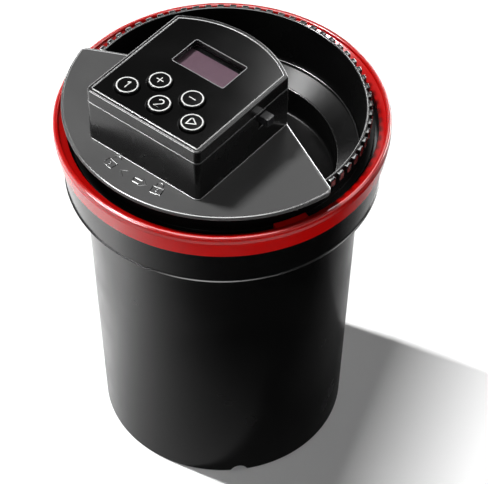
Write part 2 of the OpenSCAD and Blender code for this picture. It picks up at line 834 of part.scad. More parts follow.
module display_module() {
    pin_pitch = 2.54;
    pin_w = 0.6;
    board = 1.2;
    edge = 0.4;
    color("#1a3050") {
        block(-module_x, module_x, -window_y - module_y, -window_y + module_y, module_z, module_z + board);
        block(-module_x + edge, module_x - edge, -window_y - module_y + edge, -window_y + module_y - edge,
            module_z + board / 2, pane_z);
        for (k = [-1.5:1.5])
            block(k * pin_pitch - pin_w / 2, k * pin_pitch + pin_w / 2, -window_y + module_y - 2 * pin_w,
                -window_y + module_y - pin_w, board_top_z, module_z + board / 2);
    }
}

module button(p) {
    color("#202020")
        translate([p[0], p[1], 0]) {
            rod(button_r, button_flange_z, box_top_z + button_proud);
            rod(button_flange_r, button_flange_z, button_flange_z + button_flange_t);
            rod(stem_r, stem_z, button_flange_z + button_flange_t / 2);
        }
}

module button_1() { button(buttons[0]); }

module button_2() { button(buttons[1]); }

module button_3() { button(buttons[2]); }

module button_4() { button(buttons[3]); }

module button_5() { button(buttons[4]); }

module key_switches() {
    color("#4a4a4a")
        for (p = buttons)
            translate([p[0], p[1], 0])
                difference() {
                    block(-key_w / 2, key_w / 2, -key_w / 2, key_w / 2, board_top_z, key_top_z);
                    rod(key_bore_r, stem_z - button_travel - slack, key_top_z + cut);
                }
}

module control_board() {
    color("#1f5f3a")
        difference() {
            union() {
                block(-board_x, board_x, -board_front, board_rear, board_z, board_top_z);
                block(-inner_x + loose_fit, 0, -switch_y - socket_w / 2 - socket_margin,
                    -switch_y + socket_w / 2 + socket_margin, board_z, board_top_z);
            }
            for (p = board_bosses)
                translate([p[0], p[1], 0]) rod(board_hole_r, board_z - cut, board_top_z + cut);
        }
}

module board_screws() {
    color("#b0b0b0")
        for (p = board_bosses)
            translate([p[0], p[1], board_z]) screw(board_screw_d, board_screw_l, boss_r, small_head_h);
}

module power_slider() {
    color("#2c2c2c") {
        block(shoe_x + shoe_t - cut, box_w / 2 + knob_out, -switch_y - knob_w / 2,
            -switch_y + knob_w / 2, knob_z, knob_top_z);
        block(shoe_x, shoe_x + shoe_t, -switch_y - shoe_half, -switch_y + shoe_half, knob_z, knob_top_z);
    }
}

module slide_switch() {
    color("#a8a8a8")
        difference() {
            block(switch_x, inner_x, -switch_y - switch_half, -switch_y + switch_half,
                slot_z - switch_end, seam_z - 2 * face_gap);
            block(shoe_x - face_gap, shoe_x + shoe_t + face_gap, -switch_y - shoe_half - face_gap,
                -switch_y + shoe_half + face_gap, slot_z, slot_top_z);
            block(shoe_x, inner_x + cut, -switch_y - knob_w / 2 - loose_fit,
                -switch_y + knob_w / 2 + loose_fit, slot_z, slot_top_z);
        }
}

module battery_cell() {
    rear = -box_front + box_wall + slack + cell_w;
    tab_l = 2;
    tab_t = 1;
    tab_z = plate_top_z + cell_t / 2 - tab_t / 2;
    color("#b8bcc0") {
        block(-cell_l / 2, cell_l / 2, rear - cell_w, rear, plate_top_z, plate_top_z + cell_t);
        block(-cell_l / 2 - tab_l, -cell_l / 2 + cut, rear - cell_w + tab_l, rear - tab_l,
            tab_z, tab_z + tab_t);
    }
}

module charge_socket() {
    wall = 0.4;
    y0 = -switch_y - socket_w / 2;
    y1 = -switch_y + socket_w / 2;
    color("#c8c8c8")
        difference() {
            block(socket_x, socket_x + socket_l, y0, y1, socket_z, socket_z + socket_h);
            difference() {
                block(socket_x - cut, socket_x + socket_l - cut, y0 + wall, y1 - wall, socket_z + wall,
                    socket_z + socket_h - wall);
                block(socket_x + 3 * wall, socket_x + socket_l, y0 + 4 * wall, y1 - 4 * wall,
                    socket_z + socket_h / 2 - wall, socket_z + socket_h / 2 + wall);
            }
        }
}

module case_screws() {
    color("#303030")
        for (p = case_posts)
            translate([p[0], p[1], plate_z]) screw(case_screw_d, plate_t + case_screw_in, pan_r, pan_h);
}

module drive_pod() {
    color("#2e2e2e")
        difference() {
            union() {
                translate([0, pod_y, 0]) rod(pod_r, pod_z, plate_z);
                for (p = ears)
                    translate([p[0], p[1], 0]) rod(ear_r, plate_z - ear_t, plate_z);
                rod(nose_r, nose_z, pod_z + pod_floor / 2);
            }
            difference() {
                translate([0, pod_y, 0]) rod(pod_low_r, pod_in_z, plate_z + cut);
                for (s = [-1, 1])
                    translate([s * gear_screw_x, pod_y, 0]) rod(gear_boss_r, pod_in_z - cut, gear_plate_z);
            }
            translate([0, pod_y, 0]) rod(pod_in_r, gear_plate_z, plate_z + cut);
            for (s = [-1, 1])
                translate([s * gear_screw_x, pod_y, 0])
                    rod(gear_hole_r, pod_in_z, gear_plate_z + cut);
            rod(bush_r, nose_z - cut, pod_in_z + cut);
            rod(seal_r, nose_z - cut, nose_z + seal_h);
            for (p = ears)
                translate([p[0], p[1], 0]) rod(pod_hole_r, plate_z - ear_t - cut, plate_z + cut);
        }
}

module pod_screws() {
    color("#303030")
        for (p = ears)
            translate([p[0], p[1], plate_z - ear_t])
                screw(pod_screw_d, ear_t + pod_screw_in, pod_head_r, pan_h);
}

module gear_plate() {
    color("#c4c6c8")
        difference() {
            translate([0, pod_y, 0]) rod(pod_in_r - face_gap, gear_plate_z, motor_z);
            rod(bush_r, gear_plate_z - cut, motor_z + cut);
            translate([0, -gear_c, 0]) rod(shaft_hole_r, gear_plate_z - cut, motor_z + cut);
            for (s = [-1, 1]) {
                translate([s * gear_screw_x, pod_y, 0])
                    rod(gear_hole_r, gear_plate_z - cut, motor_z + cut);
                translate([s * motor_screw_x, -gear_c, 0])
                    rod(motor_screw_r + run_fit, gear_plate_z - cut, motor_z + cut);
            }
        }
}

module gear_plate_screws() {
    color("#b0b0b0")
        for (s = [-1, 1])
            translate([s * gear_screw_x, pod_y, motor_z])
                rotate([180, 0, 0])
                    screw(gear_screw_d, gear_plate_t + gear_screw_in, gear_head_r, small_head_h);
}

// Motor cross-section: a circle cut by two flats
module motor_outline() {
    intersection() {
        circle(motor_w / 2);
        square([motor_w, motor_flat], center = true);
    }
}

module motor_can() {
    color("#c0c2c4")
        translate([0, -gear_c, can_z]) linear_extrude(can_h) motor_outline();
}

module motor_gearbox() {
    color("#b89b50")
        difference() {
            translate([0, -gear_c, 0])
                block(-motor_w / 2, motor_w / 2, -motor_flat / 2, motor_flat / 2, motor_z, can_z);
            translate([0, -gear_c, 0]) rod(shaft_r + run_fit, motor_z - cut, shaft_top_z + slack);
            for (s = [-1, 1])
                translate([s * motor_screw_x, -gear_c, 0])
                    rod(motor_screw_r + run_fit, motor_z - cut, motor_z + motor_screw_in + slack);
        }
}

module motor_screws() {
    color("#b0b0b0")
        for (s = [-1, 1])
            translate([s * motor_screw_x, -gear_c, gear_plate_z])
                screw(2 * motor_screw_r, gear_plate_t + motor_screw_in, motor_head_r, small_head_h);
}

module motor_shaft() {
    color("#d0d0d0")
        translate([0, -gear_c, 0]) rod(shaft_r, gear_z - slack, shaft_top_z);
}

// One flank point of an involute tooth: the angle from the tooth's centre at the radius r
function involute(base, r) = sqrt(max(pow(r / base, 2) - 1, 0)) * 180 / PI - acos(min(base / r, 1));

// Outline of a spur gear with stub teeth, a tooth centred on the direction 0
module gear_outline(teeth) {
    pitch_r = gear_module * teeth / 2;
    base = pitch_r * cos(pressure_angle);
    root_r = pitch_r - dedendum * gear_module;
    tip = pitch_r + addendum * gear_module;
    backlash = 0.08;
    half = (90 / teeth) - backlash / pitch_r * 90 / PI;
    steps = 5;
    radii = [for (k = [0:steps]) max(root_r, base) + (tip - max(root_r, base)) * k / steps];
    turns = [for (r = radii) half + involute(base, pitch_r) - involute(base, r)];
    flank = [for (k = [0:steps]) [radii[k], turns[k]]];
    side = concat([[root_r, turns[0]]], flank);
    polygon([for (t = [0:teeth - 1])
        for (s = [-1, 1])
            for (k = [0:steps + 1])
                let (q = s < 0 ? side[k] : side[steps + 1 - k])
                q[0] * [cos(t * 360 / teeth + s * q[1]), sin(t * 360 / teeth + s * q[1])]]);
}

module motor_pinion() {
    color("#c9a850")
        difference() {
            translate([0, -gear_c, gear_z])
                linear_extrude(gear_h) rotate(90 + 180 / pinion_teeth) gear_outline(pinion_teeth);
            translate([0, -gear_c, 0]) rod(shaft_r, gear_z - cut, gear_top_z + cut);
        }
}

module drive_gear() {
    color("#e8e4d8")
        difference() {
            union() {
                translate([0, 0, gear_z]) linear_extrude(gear_h) rotate(-90) gear_outline(gear_teeth);
                rod(hub_r, gear_z, gear_top_z + small_head_h);
            }
            rod(spindle_r, gear_z - cut, gear_top_z + small_head_h + cut);
        }
}

// A cross pin through the spindle, reaching half_l to each side
module pin(half_l) {
    translate([0, 0, pin_z]) rotate([0, 90, 0]) cylinder(h = 2 * half_l, r = pin_r, center = true);
}

module drive_spindle() {
    color("#d4d4d4")
        difference() {
            rod(spindle_r, spindle_z, spindle_top_z);
            tube(spindle_r + cut, spindle_r - clip_groove, clip_z, clip_z + spindle_clip_t);
            pin(spindle_r + cut);
        }
}

module spindle_clip() {
    color("#8c8c8c")
        difference() {
            tube(spindle_r + clip_w, spindle_r - clip_groove, clip_z, clip_z + spindle_clip_t);
            block(0, spindle_d, -clip_mouth, clip_mouth, clip_z - cut, clip_z + spindle_clip_t + cut);
        }
}

module upper_bush() {
    color("#b08d45") {
        tube(bush_r, spindle_r + run_fit, gear_plate_z, motor_z + bush_flange_t);
        tube(bush_flange_r, spindle_r + run_fit, motor_z, motor_z + bush_flange_t);
    }
}

module lower_bush() {
    color("#b08d45") {
        tube(bush_r, spindle_r + run_fit, nose_z + seal_h, pod_in_z + bush_flange_t);
        tube(bush_flange_r, spindle_r + run_fit, pod_in_z, pod_in_z + bush_flange_t);
    }
}

module spindle_seal() {
    color("#151515")
        tube(seal_r, spindle_r + run_fit, nose_z, nose_z + seal_h);
}

module drive_coupler() {
    color("#d8d8d4")
        difference() {
            union() {
                rod(hub_r, hub_z, hub_top_z);
                for (a = [0, 90])
                    rotate([0, 0, a])
                        block(-vane_r, vane_r, -vane_t / 2, vane_t / 2, vane_z, tube_z + vane_above);
            }
            rod(spindle_r, spindle_z, hub_top_z + cut);
            pin(hub_r);
        }
}

module coupler_pin() {
    color("#9a9a9a")
        pin(hub_r);
}

module centre_column() {
    color("#2a2a2a") {
        difference() {
            union() {
                tube(column_r, column_in_r, column_z, column_top_z);
                tube(column_r + foot_w, column_in_r, foot_z, foot_top_z);
            }
            for (a = [45:90:315])
                sector(column_in_r - cut, column_r + cut, column_z + drain_foot, foot_z - drain_head, a,
                    drain_arc);
        }
        for (a = [0:90:270])
            rotate([0, 0, a + drive_rib_angle])
                block(drive_rib_in_r, column_in_r + column_wall / 2, -drive_rib_t / 2, drive_rib_t / 2,
                    vane_z - drive_rib_foot, tube_z - drive_rib_head);
    }
}

// Spiral rib of half rings on two centres, so that each half turn is a true arc
module spiral_rib(z0) {
    for (k = [0:2 * spiral_turns - 1])
        translate([k % 2 * spiral_pitch / 2, 0, z0])
            rotate([0, 0, k % 2 * 180])
                rotate_extrude(angle = 180)
                    translate([spiral_r + k * spiral_pitch / 2, 0]) square([rib_t, rib_h]);
}

module reel_lower(z0) {
    stop_z = z0 + reel_h - stop_drop;
    color("#e6e4dc") {
        tube(reel_r, sleeve_in_r, z0, z0 + reel_flange_t);
        tube(sleeve_r, sleeve_in_r, z0, z0 + reel_h - reel_flange_t - sleeve_end);
        sector(sleeve_r - sleeve_t / 2, over_r - stop_inset, stop_z, stop_z + stop_h, 0, stop_arc);
        spiral_rib(z0 + reel_flange_t);
    }
}

module reel_upper(z0) {
    top = z0 + reel_h;
    color("#e6e4dc") {
        tube(reel_r, sleeve_in_r, top - reel_flange_t, top);
        difference() {
            tube(over_r, over_in_r, z0 + reel_flange_t + sleeve_end, top - reel_flange_t / 2);
            sector(over_in_r - cut, over_r + cut, top - stop_drop - stop_play,
                top - stop_drop + stop_h + stop_play, 0, stop_gate_arc);
        }
        spiral_rib(top - reel_flange_t - rib_h);
    }
}

module reel_1_lower() { reel_lower(reel_1_z); }

module reel_1_upper() { reel_upper(reel_1_z); }

module reel_2_lower() { reel_lower(reel_2_z); }

module reel_2_upper() { reel_upper(reel_2_z); }

module column_clip() {
    color("#8a1a1a")
        difference() {
            tube(column_r + column_clip_w, column_r, column_clip_z, column_clip_z + clip_t);
            block(0, column_d, -column_clip_mouth, column_clip_mouth, column_clip_z - cut,
                column_clip_z + clip_t + cut);
        }
}

tank_body();
locking_ring();
funnel_lid();
lid_seal();
base_plate();
lower_housing();
upper_housing();
fascia_panel();
display_window();
display_module();
button_1();
button_2();
button_3();
button_4();
button_5();
key_switches();
control_board();
board_screws();
power_slider();
slide_switch();
battery_cell();
charge_socket();
case_screws();
drive_pod();
pod_screws();
gear_plate();
gear_plate_screws();
motor_can();
motor_gearbox();
motor_screws();
motor_shaft();
motor_pinion();
drive_gear();
drive_spindle();
spindle_clip();
upper_bush();
lower_bush();
spindle_seal();
drive_coupler();
coupler_pin();
centre_column();
reel_1_lower();
reel_1_upper();
reel_2_lower();
reel_2_upper();
column_clip();
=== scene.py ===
"""Looks of a rotary film processor: a developing tank with a funnel lid and a driven agitation head.

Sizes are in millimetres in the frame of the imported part: the origin is the centre of the tank's base,
+Z is up and the head's front faces -Y. The floor, the lamps and the camera are placed in metres.
"""

import logging
import math
from collections.abc import Sequence
from dataclasses import dataclass, field
from enum import Enum

import bmesh
import bpy
import numpy as np
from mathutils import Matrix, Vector
from mathutils.geometry import tessellate_polygon


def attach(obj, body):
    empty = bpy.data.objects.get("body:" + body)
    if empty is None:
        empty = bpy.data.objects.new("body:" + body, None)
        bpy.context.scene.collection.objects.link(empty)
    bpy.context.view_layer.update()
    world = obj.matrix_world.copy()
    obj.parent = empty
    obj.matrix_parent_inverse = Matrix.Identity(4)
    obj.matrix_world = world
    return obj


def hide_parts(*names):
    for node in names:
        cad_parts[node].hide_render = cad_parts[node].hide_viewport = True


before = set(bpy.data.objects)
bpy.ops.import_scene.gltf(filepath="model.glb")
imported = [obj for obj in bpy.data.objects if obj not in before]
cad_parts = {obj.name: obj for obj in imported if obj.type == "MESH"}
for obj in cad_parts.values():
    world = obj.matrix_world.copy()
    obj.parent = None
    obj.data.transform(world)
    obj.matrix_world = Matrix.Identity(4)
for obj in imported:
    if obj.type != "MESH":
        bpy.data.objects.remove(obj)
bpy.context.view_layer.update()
LOG = logging.getLogger("film_processor")
MM = 0.001
# Points closer than this, in metres, are one point.
MERGE = 2e-6
# An edge that turns more than this stays sharp.
CREASE = math.radians(40)
# Radii of moulded edges, in millimetres: a corner that stays sharp, then from a crisp edge to a wide fillet.
SHARP = 0.0
CRISP = 0.05
FINE = 0.1
EASED = 0.2
SOFT = 0.3
BROAD = 0.5
FILLET = 1.5
# Detail of the noises that the finishes share, and the middle range that a noise mostly fills.
DRIFT_DETAIL = 4.0
GRAIN_DETAIL = 3.0
GRAIN_BREAK = 0.6
NOISE_LOW = 0.3
NOISE_HIGH = 0.7

Pair = tuple[float, float]
Triple = tuple[float, float, float]
Box = tuple[float, float, float, float]
Sockets = dict[str | int, object]


def linear(code: str) -> Box:
    """Turn an sRGB hex code into a linear colour.

    Args:
        code: six hex digits, with or without a leading hash.

    Returns:
        Linear red, green, blue and an alpha of 1.
    """
    srgb = np.array([int(code.lstrip("#")[k:k + 2], 16) for k in (0, 2, 4)]) / 255
    rgb = np.where(srgb <= 0.04045, srgb / 12.92, ((srgb + 0.055) / 1.055) ** 2.4)
    return (float(rgb[0]), float(rgb[1]), float(rgb[2]), 1.0)


def add(tree: bpy.types.NodeTree, kind: str, values: Sockets | None = None, links: Sockets | None = None,
        **settings: object) -> bpy.types.Node:
    """Add a node with its settings, socket values and links.

    Args:
        tree: the tree that the node joins.
        kind: Blender's name of the node.
        values: constant values by input name or number.
        links: output sockets by the name or number of the input that they feed.
        settings: the node's own properties.

    Returns:
        The new node.
    """
    node = tree.nodes.new(kind)
    for key, value in settings.items():
        setattr(node, key, value)
    for key, value in (values or {}).items():
        node.inputs[key].default_value = value
    for key, socket in (links or {}).items():
        tree.links.new(socket, node.inputs[key])
    return node


def empty_tree(owner: bpy.types.Material | bpy.types.World) -> bpy.types.NodeTree:
    """Give a material or a world a node tree without nodes.

    Args:
        owner: the material or the world.

    Returns:
        Its tree.
    """
    owner.use_nodes = True
    owner.node_tree.nodes.clear()
    return owner.node_tree


def put(name: str, data: bpy.types.ID) -> bpy.types.Object:
    """Make an object of a mesh, a lamp or a camera and link it to the scene.

    Args:
        name: name of the object.
        data: what it shows.

    Returns:
        The object.
    """
    made = bpy.data.objects.new(name, data)
    bpy.context.scene.collection.objects.link(made)
    return made


class Making(Enum):
    """How a surface was made, which sets how its grain is stretched along X, Y and Z."""

    MOULDED = (1.0, 1.0, 1.0)
    TURNED = (0.25, 0.25, 4.0)
    ROLLED = (0.05, 1.0, 1.0)


@dataclass(frozen=True)
class Finish:
    """One real material and what it gives the eye.

    The grain is a fine noise that drives the bump, and the drift is a slow noise of about drift_mm that
    moves the colour from colour to shade and the roughness by spread. A moulded or ground grain is really
    0.02 to 0.2 mm wide; grain_mm is drawn coarser than that, so that it can show in the render.
    """

    name: str
    colour: str
    shade: str
    roughness: float
    spread: float = 0.06
    grain_mm: float = 0.4
    bump_mm: float = 0.01
    drift_mm: float = 22.0
    making: Making = Making.MOULDED
    metallic: float = 0.0
    ior: float = 1.5
    specular: float = 0.5
    coat: float = 0.0
    coat_roughness: float = 0.05
    alpha: float = 1.0

    def material(self) -> bpy.types.Material:
        """Make the material, or find the one made before.

        Returns:
            The material.
        """
        found = bpy.data.materials.get(self.name)
        if found is not None:
            return found
        made = bpy.data.materials.new(self.name)
        tree = empty_tree(made)
        place = add(tree, "ShaderNodeTexCoord")
        stretch = add(tree, "ShaderNodeMapping", {"Scale": self.making.value},
                      {"Vector": place.outputs["Object"]})
        drift = add(tree, "ShaderNodeTexNoise", {"Scale": 1 / (self.drift_mm * MM), "Detail": DRIFT_DETAIL},
                    {"Vector": place.outputs["Object"]})
        grain = add(tree, "ShaderNodeTexNoise", {"Scale": 1 / (self.grain_mm * MM), "Detail": GRAIN_DETAIL,
                                                 "Roughness": GRAIN_BREAK}, {"Vector": stretch.outputs[0]})
        tint = add(tree, "ShaderNodeMix", {6: linear(self.colour), 7: linear(self.shade)},
                   {0: drift.outputs["Fac"]}, data_type="RGBA")
        rough = add(tree, "ShaderNodeMapRange", {"From Min": NOISE_LOW, "From Max": NOISE_HIGH,
                                                 "To Min": self.roughness - self.spread,
                                                 "To Max": self.roughness + self.spread},
                    {"Value": drift.outputs["Fac"]})
        bump = add(tree, "ShaderNodeBump", {"Strength": 1.0, "Distance": self.bump_mm * MM},
                   {"Height": grain.outputs["Fac"]})
        shader = add(tree, "ShaderNodeBsdfPrincipled",
                     {"Metallic": self.metallic, "IOR": self.ior, "Specular IOR Level": self.specular,
                      "Coat Weight": self.coat, "Coat Roughness": self.coat_roughness, "Alpha": self.alpha},
                     {"Base Color": tint.outputs[2], "Roughness": rough.outputs["Result"],
                      "Normal": bump.outputs["Normal"]})
        add(tree, "ShaderNodeOutputMaterial", links={"Surface": shader.outputs["BSDF"]})
        return made


# Satin ABS off a fine-blasted mould: deep black that greys only where it turns away.
TANK_ABS = Finish("abs_satin_moulded_black", "#070707", "#0b0b0b", roughness=0.22, grain_mm=0.5,
                  bump_mm=0.004, specular=0.55)
# Glossy red ABS off a polished mould: a saturated body under sharp reflections.
RING_ABS = Finish("abs_gloss_moulded_red", "#d40a08", "#c40806", roughness=0.16, spread=0.04, grain_mm=1.2,
                  bump_mm=0.003, specular=0.65)
# Satin polypropylene: a little greyer than the tank, with hardly any reflection.
FUNNEL_PP = Finish("polypropylene_satin_moulded_black", "#0c0c0c", "#111111", roughness=0.24, grain_mm=0.5,
                   bump_mm=0.003, specular=0.1)
# The same polypropylene off the polished faces of the grip: crisp light along its edges.
GRIP_PP = Finish("polypropylene_gloss_moulded_black", "#0c0c0c", "#111111", roughness=0.16, spread=0.03,
                 grain_mm=0.5, bump_mm=0.002, specular=0.9)
# ABS off a spark-eroded mould: even dull grey. The real grain, about 0.15 mm, is drawn at 0.7 mm to show.
PLATE_ABS = Finish("abs_spark_textured_grey", "#545454", "#626262", roughness=0.48, spread=0.05,
                   grain_mm=0.7, bump_mm=0.03, specular=0.18)
# Semi-gloss ABS: black walls with clear soft reflections.
CASE_ABS = Finish("abs_semigloss_moulded_black", "#0b0b0b", "#111111", roughness=0.26, spread=0.04,
                  grain_mm=0.6, bump_mm=0.003, specular=0.4)
# The same ABS where the mould was polished along an edge: a thin line of light that doesn't break up.
EDGE_ABS = Finish("abs_polished_edge_black", "#141414", "#1a1a1a", roughness=0.28, spread=0.03,
                  grain_mm=0.5, bump_mm=0.002, specular=1.0, coat=1.0, coat_roughness=0.24)
# Printed polycarbonate film: flat black with a faint satin sheen.
FASCIA_FILM = Finish("polycarbonate_film_satin_black", "#0c0c0c", "#101010", roughness=0.15, spread=0.03,
                     grain_mm=0.3, bump_mm=0.0006, specular=0.25)
# Glossy ABS of the button caps: black with a small clear highlight.
BUTTON_ABS = Finish("abs_gloss_moulded_black", "#0c0c0c", "#101010", roughness=0.16, spread=0.03,
                    grain_mm=0.8, bump_mm=0.002, specular=0.5)
# Screen-printed ink: dense white with slightly uneven cover.
INK_WHITE = Finish("screen_ink_white", "#f2f2f0", "#e2e2e0", roughness=0.45, spread=0.05, grain_mm=0.25,
                   bump_mm=0.004)
# A pale grey line round the display window: a painted highlight of the light along the window's edge.
HAIRLINE_HIGHLIGHT_GREY = Finish("painted_highlight_grey", "#8c8c8e", "#7e7e80", roughness=0.4, spread=0.05, grain_mm=0.25,
                  bump_mm=0.003)
# Unlit display glass: dull mauve-grey behind the clear pane.
DISPLAY_GLASS = Finish("display_glass_unlit_mauve", "#957585", "#87697a", roughness=0.35, spread=0.04,
                       grain_mm=0.35, bump_mm=0.001, drift_mm=8.0, specular=0.2)
# Clear polished polycarbonate: only a faint reflection shows the pane.
PANE_PC = Finish("polycarbonate_clear_polished", "#0c0c0c", "#0e0e0e", roughness=0.08, spread=0.02,
                 grain_mm=2.0, bump_mm=0.0005, alpha=0.15)
# Moulded nylon of the switch knob: dark grey that catches light along its edges.
KNOB_NYLON = Finish("nylon_moulded_dark_grey", "#232325", "#2b2b2d", roughness=0.22, spread=0.04,
                    grain_mm=0.4, bump_mm=0.003, specular=0.9)
# Nitrile rubber: dull black with no clear reflection.
SEAL_RUBBER = Finish("nitrile_rubber_moulded", "#121212", "#1a1a1a", roughness=0.75, spread=0.05,
                     grain_mm=0.3, bump_mm=0.02)
# Nickel-plated rolled steel: bright, with reflections drawn out along the sheet.
PLATED_STEEL = Finish("nickel_plated_steel_rolled", "#b9babc", "#a9aaad", roughness=0.28, spread=0.06,
                      grain_mm=0.25, bump_mm=0.004, making=Making.ROLLED, metallic=1.0)
# Zinc-plated screws with turned heads: a duller grey metal.
SCREW_STEEL = Finish("zinc_plated_steel_turned", "#9b9c9f", "#85868a", roughness=0.34, spread=0.06,
                     grain_mm=0.3, bump_mm=0.004, making=Making.TURNED, metallic=1.0)
# Ground stainless steel: the clearest of the metals, with fine rings.
SPINDLE_STEEL = Finish("stainless_steel_ground", "#c2c3c5", "#b2b3b6", roughness=0.2, spread=0.05,
                       grain_mm=0.2, bump_mm=0.002, making=Making.TURNED, metallic=1.0)
# Machined brass: warm yellow metal with turning marks.
GEAR_BRASS = Finish("brass_machined", "#c8a45a", "#b48f48", roughness=0.28, spread=0.06, grain_mm=0.25,
                    bump_mm=0.003, making=Making.TURNED, metallic=1.0)
# Moulded acetal: waxy white.
GEAR_ACETAL = Finish("acetal_moulded_white", "#e4e0d6", "#d8d4c8", roughness=0.38, spread=0.04,
                     grain_mm=0.5, bump_mm=0.004)
# Moulded polystyrene of the reels: a slightly glossier, cooler white.
REEL_STYRENE = Finish("polystyrene_moulded_white", "#e6e4dd", "#dcdad2", roughness=0.32, spread=0.04,
                      grain_mm=0.6, bump_mm=0.004)
# Moulded polypropylene of the column's clip: dark red and satin.
CLIP_PP = Finish("polypropylene_moulded_red", "#9a1c1c", "#881616", roughness=0.4, spread=0.05,
                 grain_mm=0.5, bump_mm=0.006)
# Glass-fibre board under solder mask: an even green gloss.
BOARD_MASK = Finish("glass_epoxy_solder_mask_green", "#1d6b3c", "#175a32", roughness=0.3, spread=0.05,
                    grain_mm=0.6, bump_mm=0.006)
# Crimped aluminium foil of the cell: pale metal with slight dents.
CELL_FOIL = Finish("aluminium_laminate_foil", "#c4c7ca", "#b2b6ba", roughness=0.35, spread=0.08,
                   grain_mm=2.5, bump_mm=0.03, metallic=1.0)


def rounded(rows: Sequence[Triple], steps: int = 5) -> np.ndarray:
    """Round every corner of a closed line.

    A corner B with the turn angle t becomes the true arc of its radius r that touches both of its sides:
    the arc starts and ends r tan(t / 2) from B and is the rational quadratic of weight cos(t / 2).

    Args:
        rows: the corners in order, each with its two coordinates and its radius; 0 keeps it sharp.
        steps: pieces of each arc.

    Returns:
        The points of the rounded line.
    """
    table = np.array(rows, float)
    at, radii = table[:, :2], table[:, 2:]
    back = np.roll(at, 1, 0) - at
    ahead = np.roll(at, -1, 0) - at
    back /= np.linalg.norm(back, axis=1, keepdims=True)
    ahead /= np.linalg.norm(ahead, axis=1, keepdims=True)
    half = np.arccos(np.clip(-(back * ahead).sum(1, keepdims=True), -1, 1)) / 2
    reach = radii * np.tan(half)
    start, mid, end = (at + back * reach)[:, None], at[:, None], (at + ahead * reach)[:, None]
    weight = np.cos(half)[:, None]
    t = np.linspace(0, 1, steps + 1)[None, :, None]
    share = (1 - t) ** 2 + 2 * weight * t * (1 - t) + t ** 2
    line = ((1 - t) ** 2 * start + 2 * weight * t * (1 - t) * mid + t ** 2 * end) / share
    return line.reshape(-1, 2)


def circle(steps: int) -> np.ndarray:
    """Angles spaced evenly round a full turn, in radians."""
    return np.linspace(0, 2 * np.pi, steps, endpoint=False)


def turned(r: np.ndarray, z: np.ndarray, a: np.ndarray, centre: Pair = (0.0, 0.0)) -> np.ndarray:
    """Points at the radius r and the height z, turned through the angle a about a vertical line."""
    x, y = centre[0] + r * np.cos(a), centre[1] + r * np.sin(a)
    return np.stack(np.broadcast_arrays(x, y, z), -1)


def off_nearest(a: np.ndarray, directions: Sequence[float]) -> np.ndarray:
    """Degrees from each angle of a column to the nearest of the directions."""
    off = np.degrees(a) - np.array(directions)[None]
    return np.abs((off + 180) % 360 - 180).min(1, keepdims=True)


@dataclass(frozen=True)
class Arc:
    """One arc of a plan outline, from start to end in degrees."""

    x: float
    y: float
    radius: float
    start: float
    end: float
    steps: int = 10

    def points(self, inset: float) -> np.ndarray:
        """Place points round the centre at the radius less the inset.

        Args:
            inset: distance towards the centre.

        Returns:
            The points in plan.
        """
        a = np.radians(np.linspace(self.start, self.end, self.steps + 1))
        r = self.radius - inset
        return np.stack([self.x + r * np.cos(a), self.y + r * np.sin(a)], -1)


Outline = tuple[Arc, ...]


def rectangle(x0: float, x1: float, y0: float, y1: float, r: float, steps: int = 6) -> Outline:
    """A rectangle with rounded corners."""
    return (Arc(x1 - r, y0 + r, r, -90, 0, steps), Arc(x1 - r, y1 - r, r, 0, 90, steps),
            Arc(x0 + r, y1 - r, r, 90, 180, steps), Arc(x0 + r, y0 + r, r, 180, 270, steps))


def flat(outline: Outline, inset: float = 0.0) -> np.ndarray:
    """The outline's points in plan, moved inwards by the inset."""
    return np.vstack([arc.points(inset) for arc in outline])


def ring(outline: Outline, inset: float, z: float) -> np.ndarray:
    """The outline's points at a height, moved inwards by the inset."""
    points = flat(outline, inset)
    return np.column_stack([points, np.full(len(points), z)])


@dataclass(frozen=True)
class Line:
    """A raised line: its width, its rise and how far its middle lies below the height that it is given."""

    width: float
    rise: float
    sunk: float = 0.0


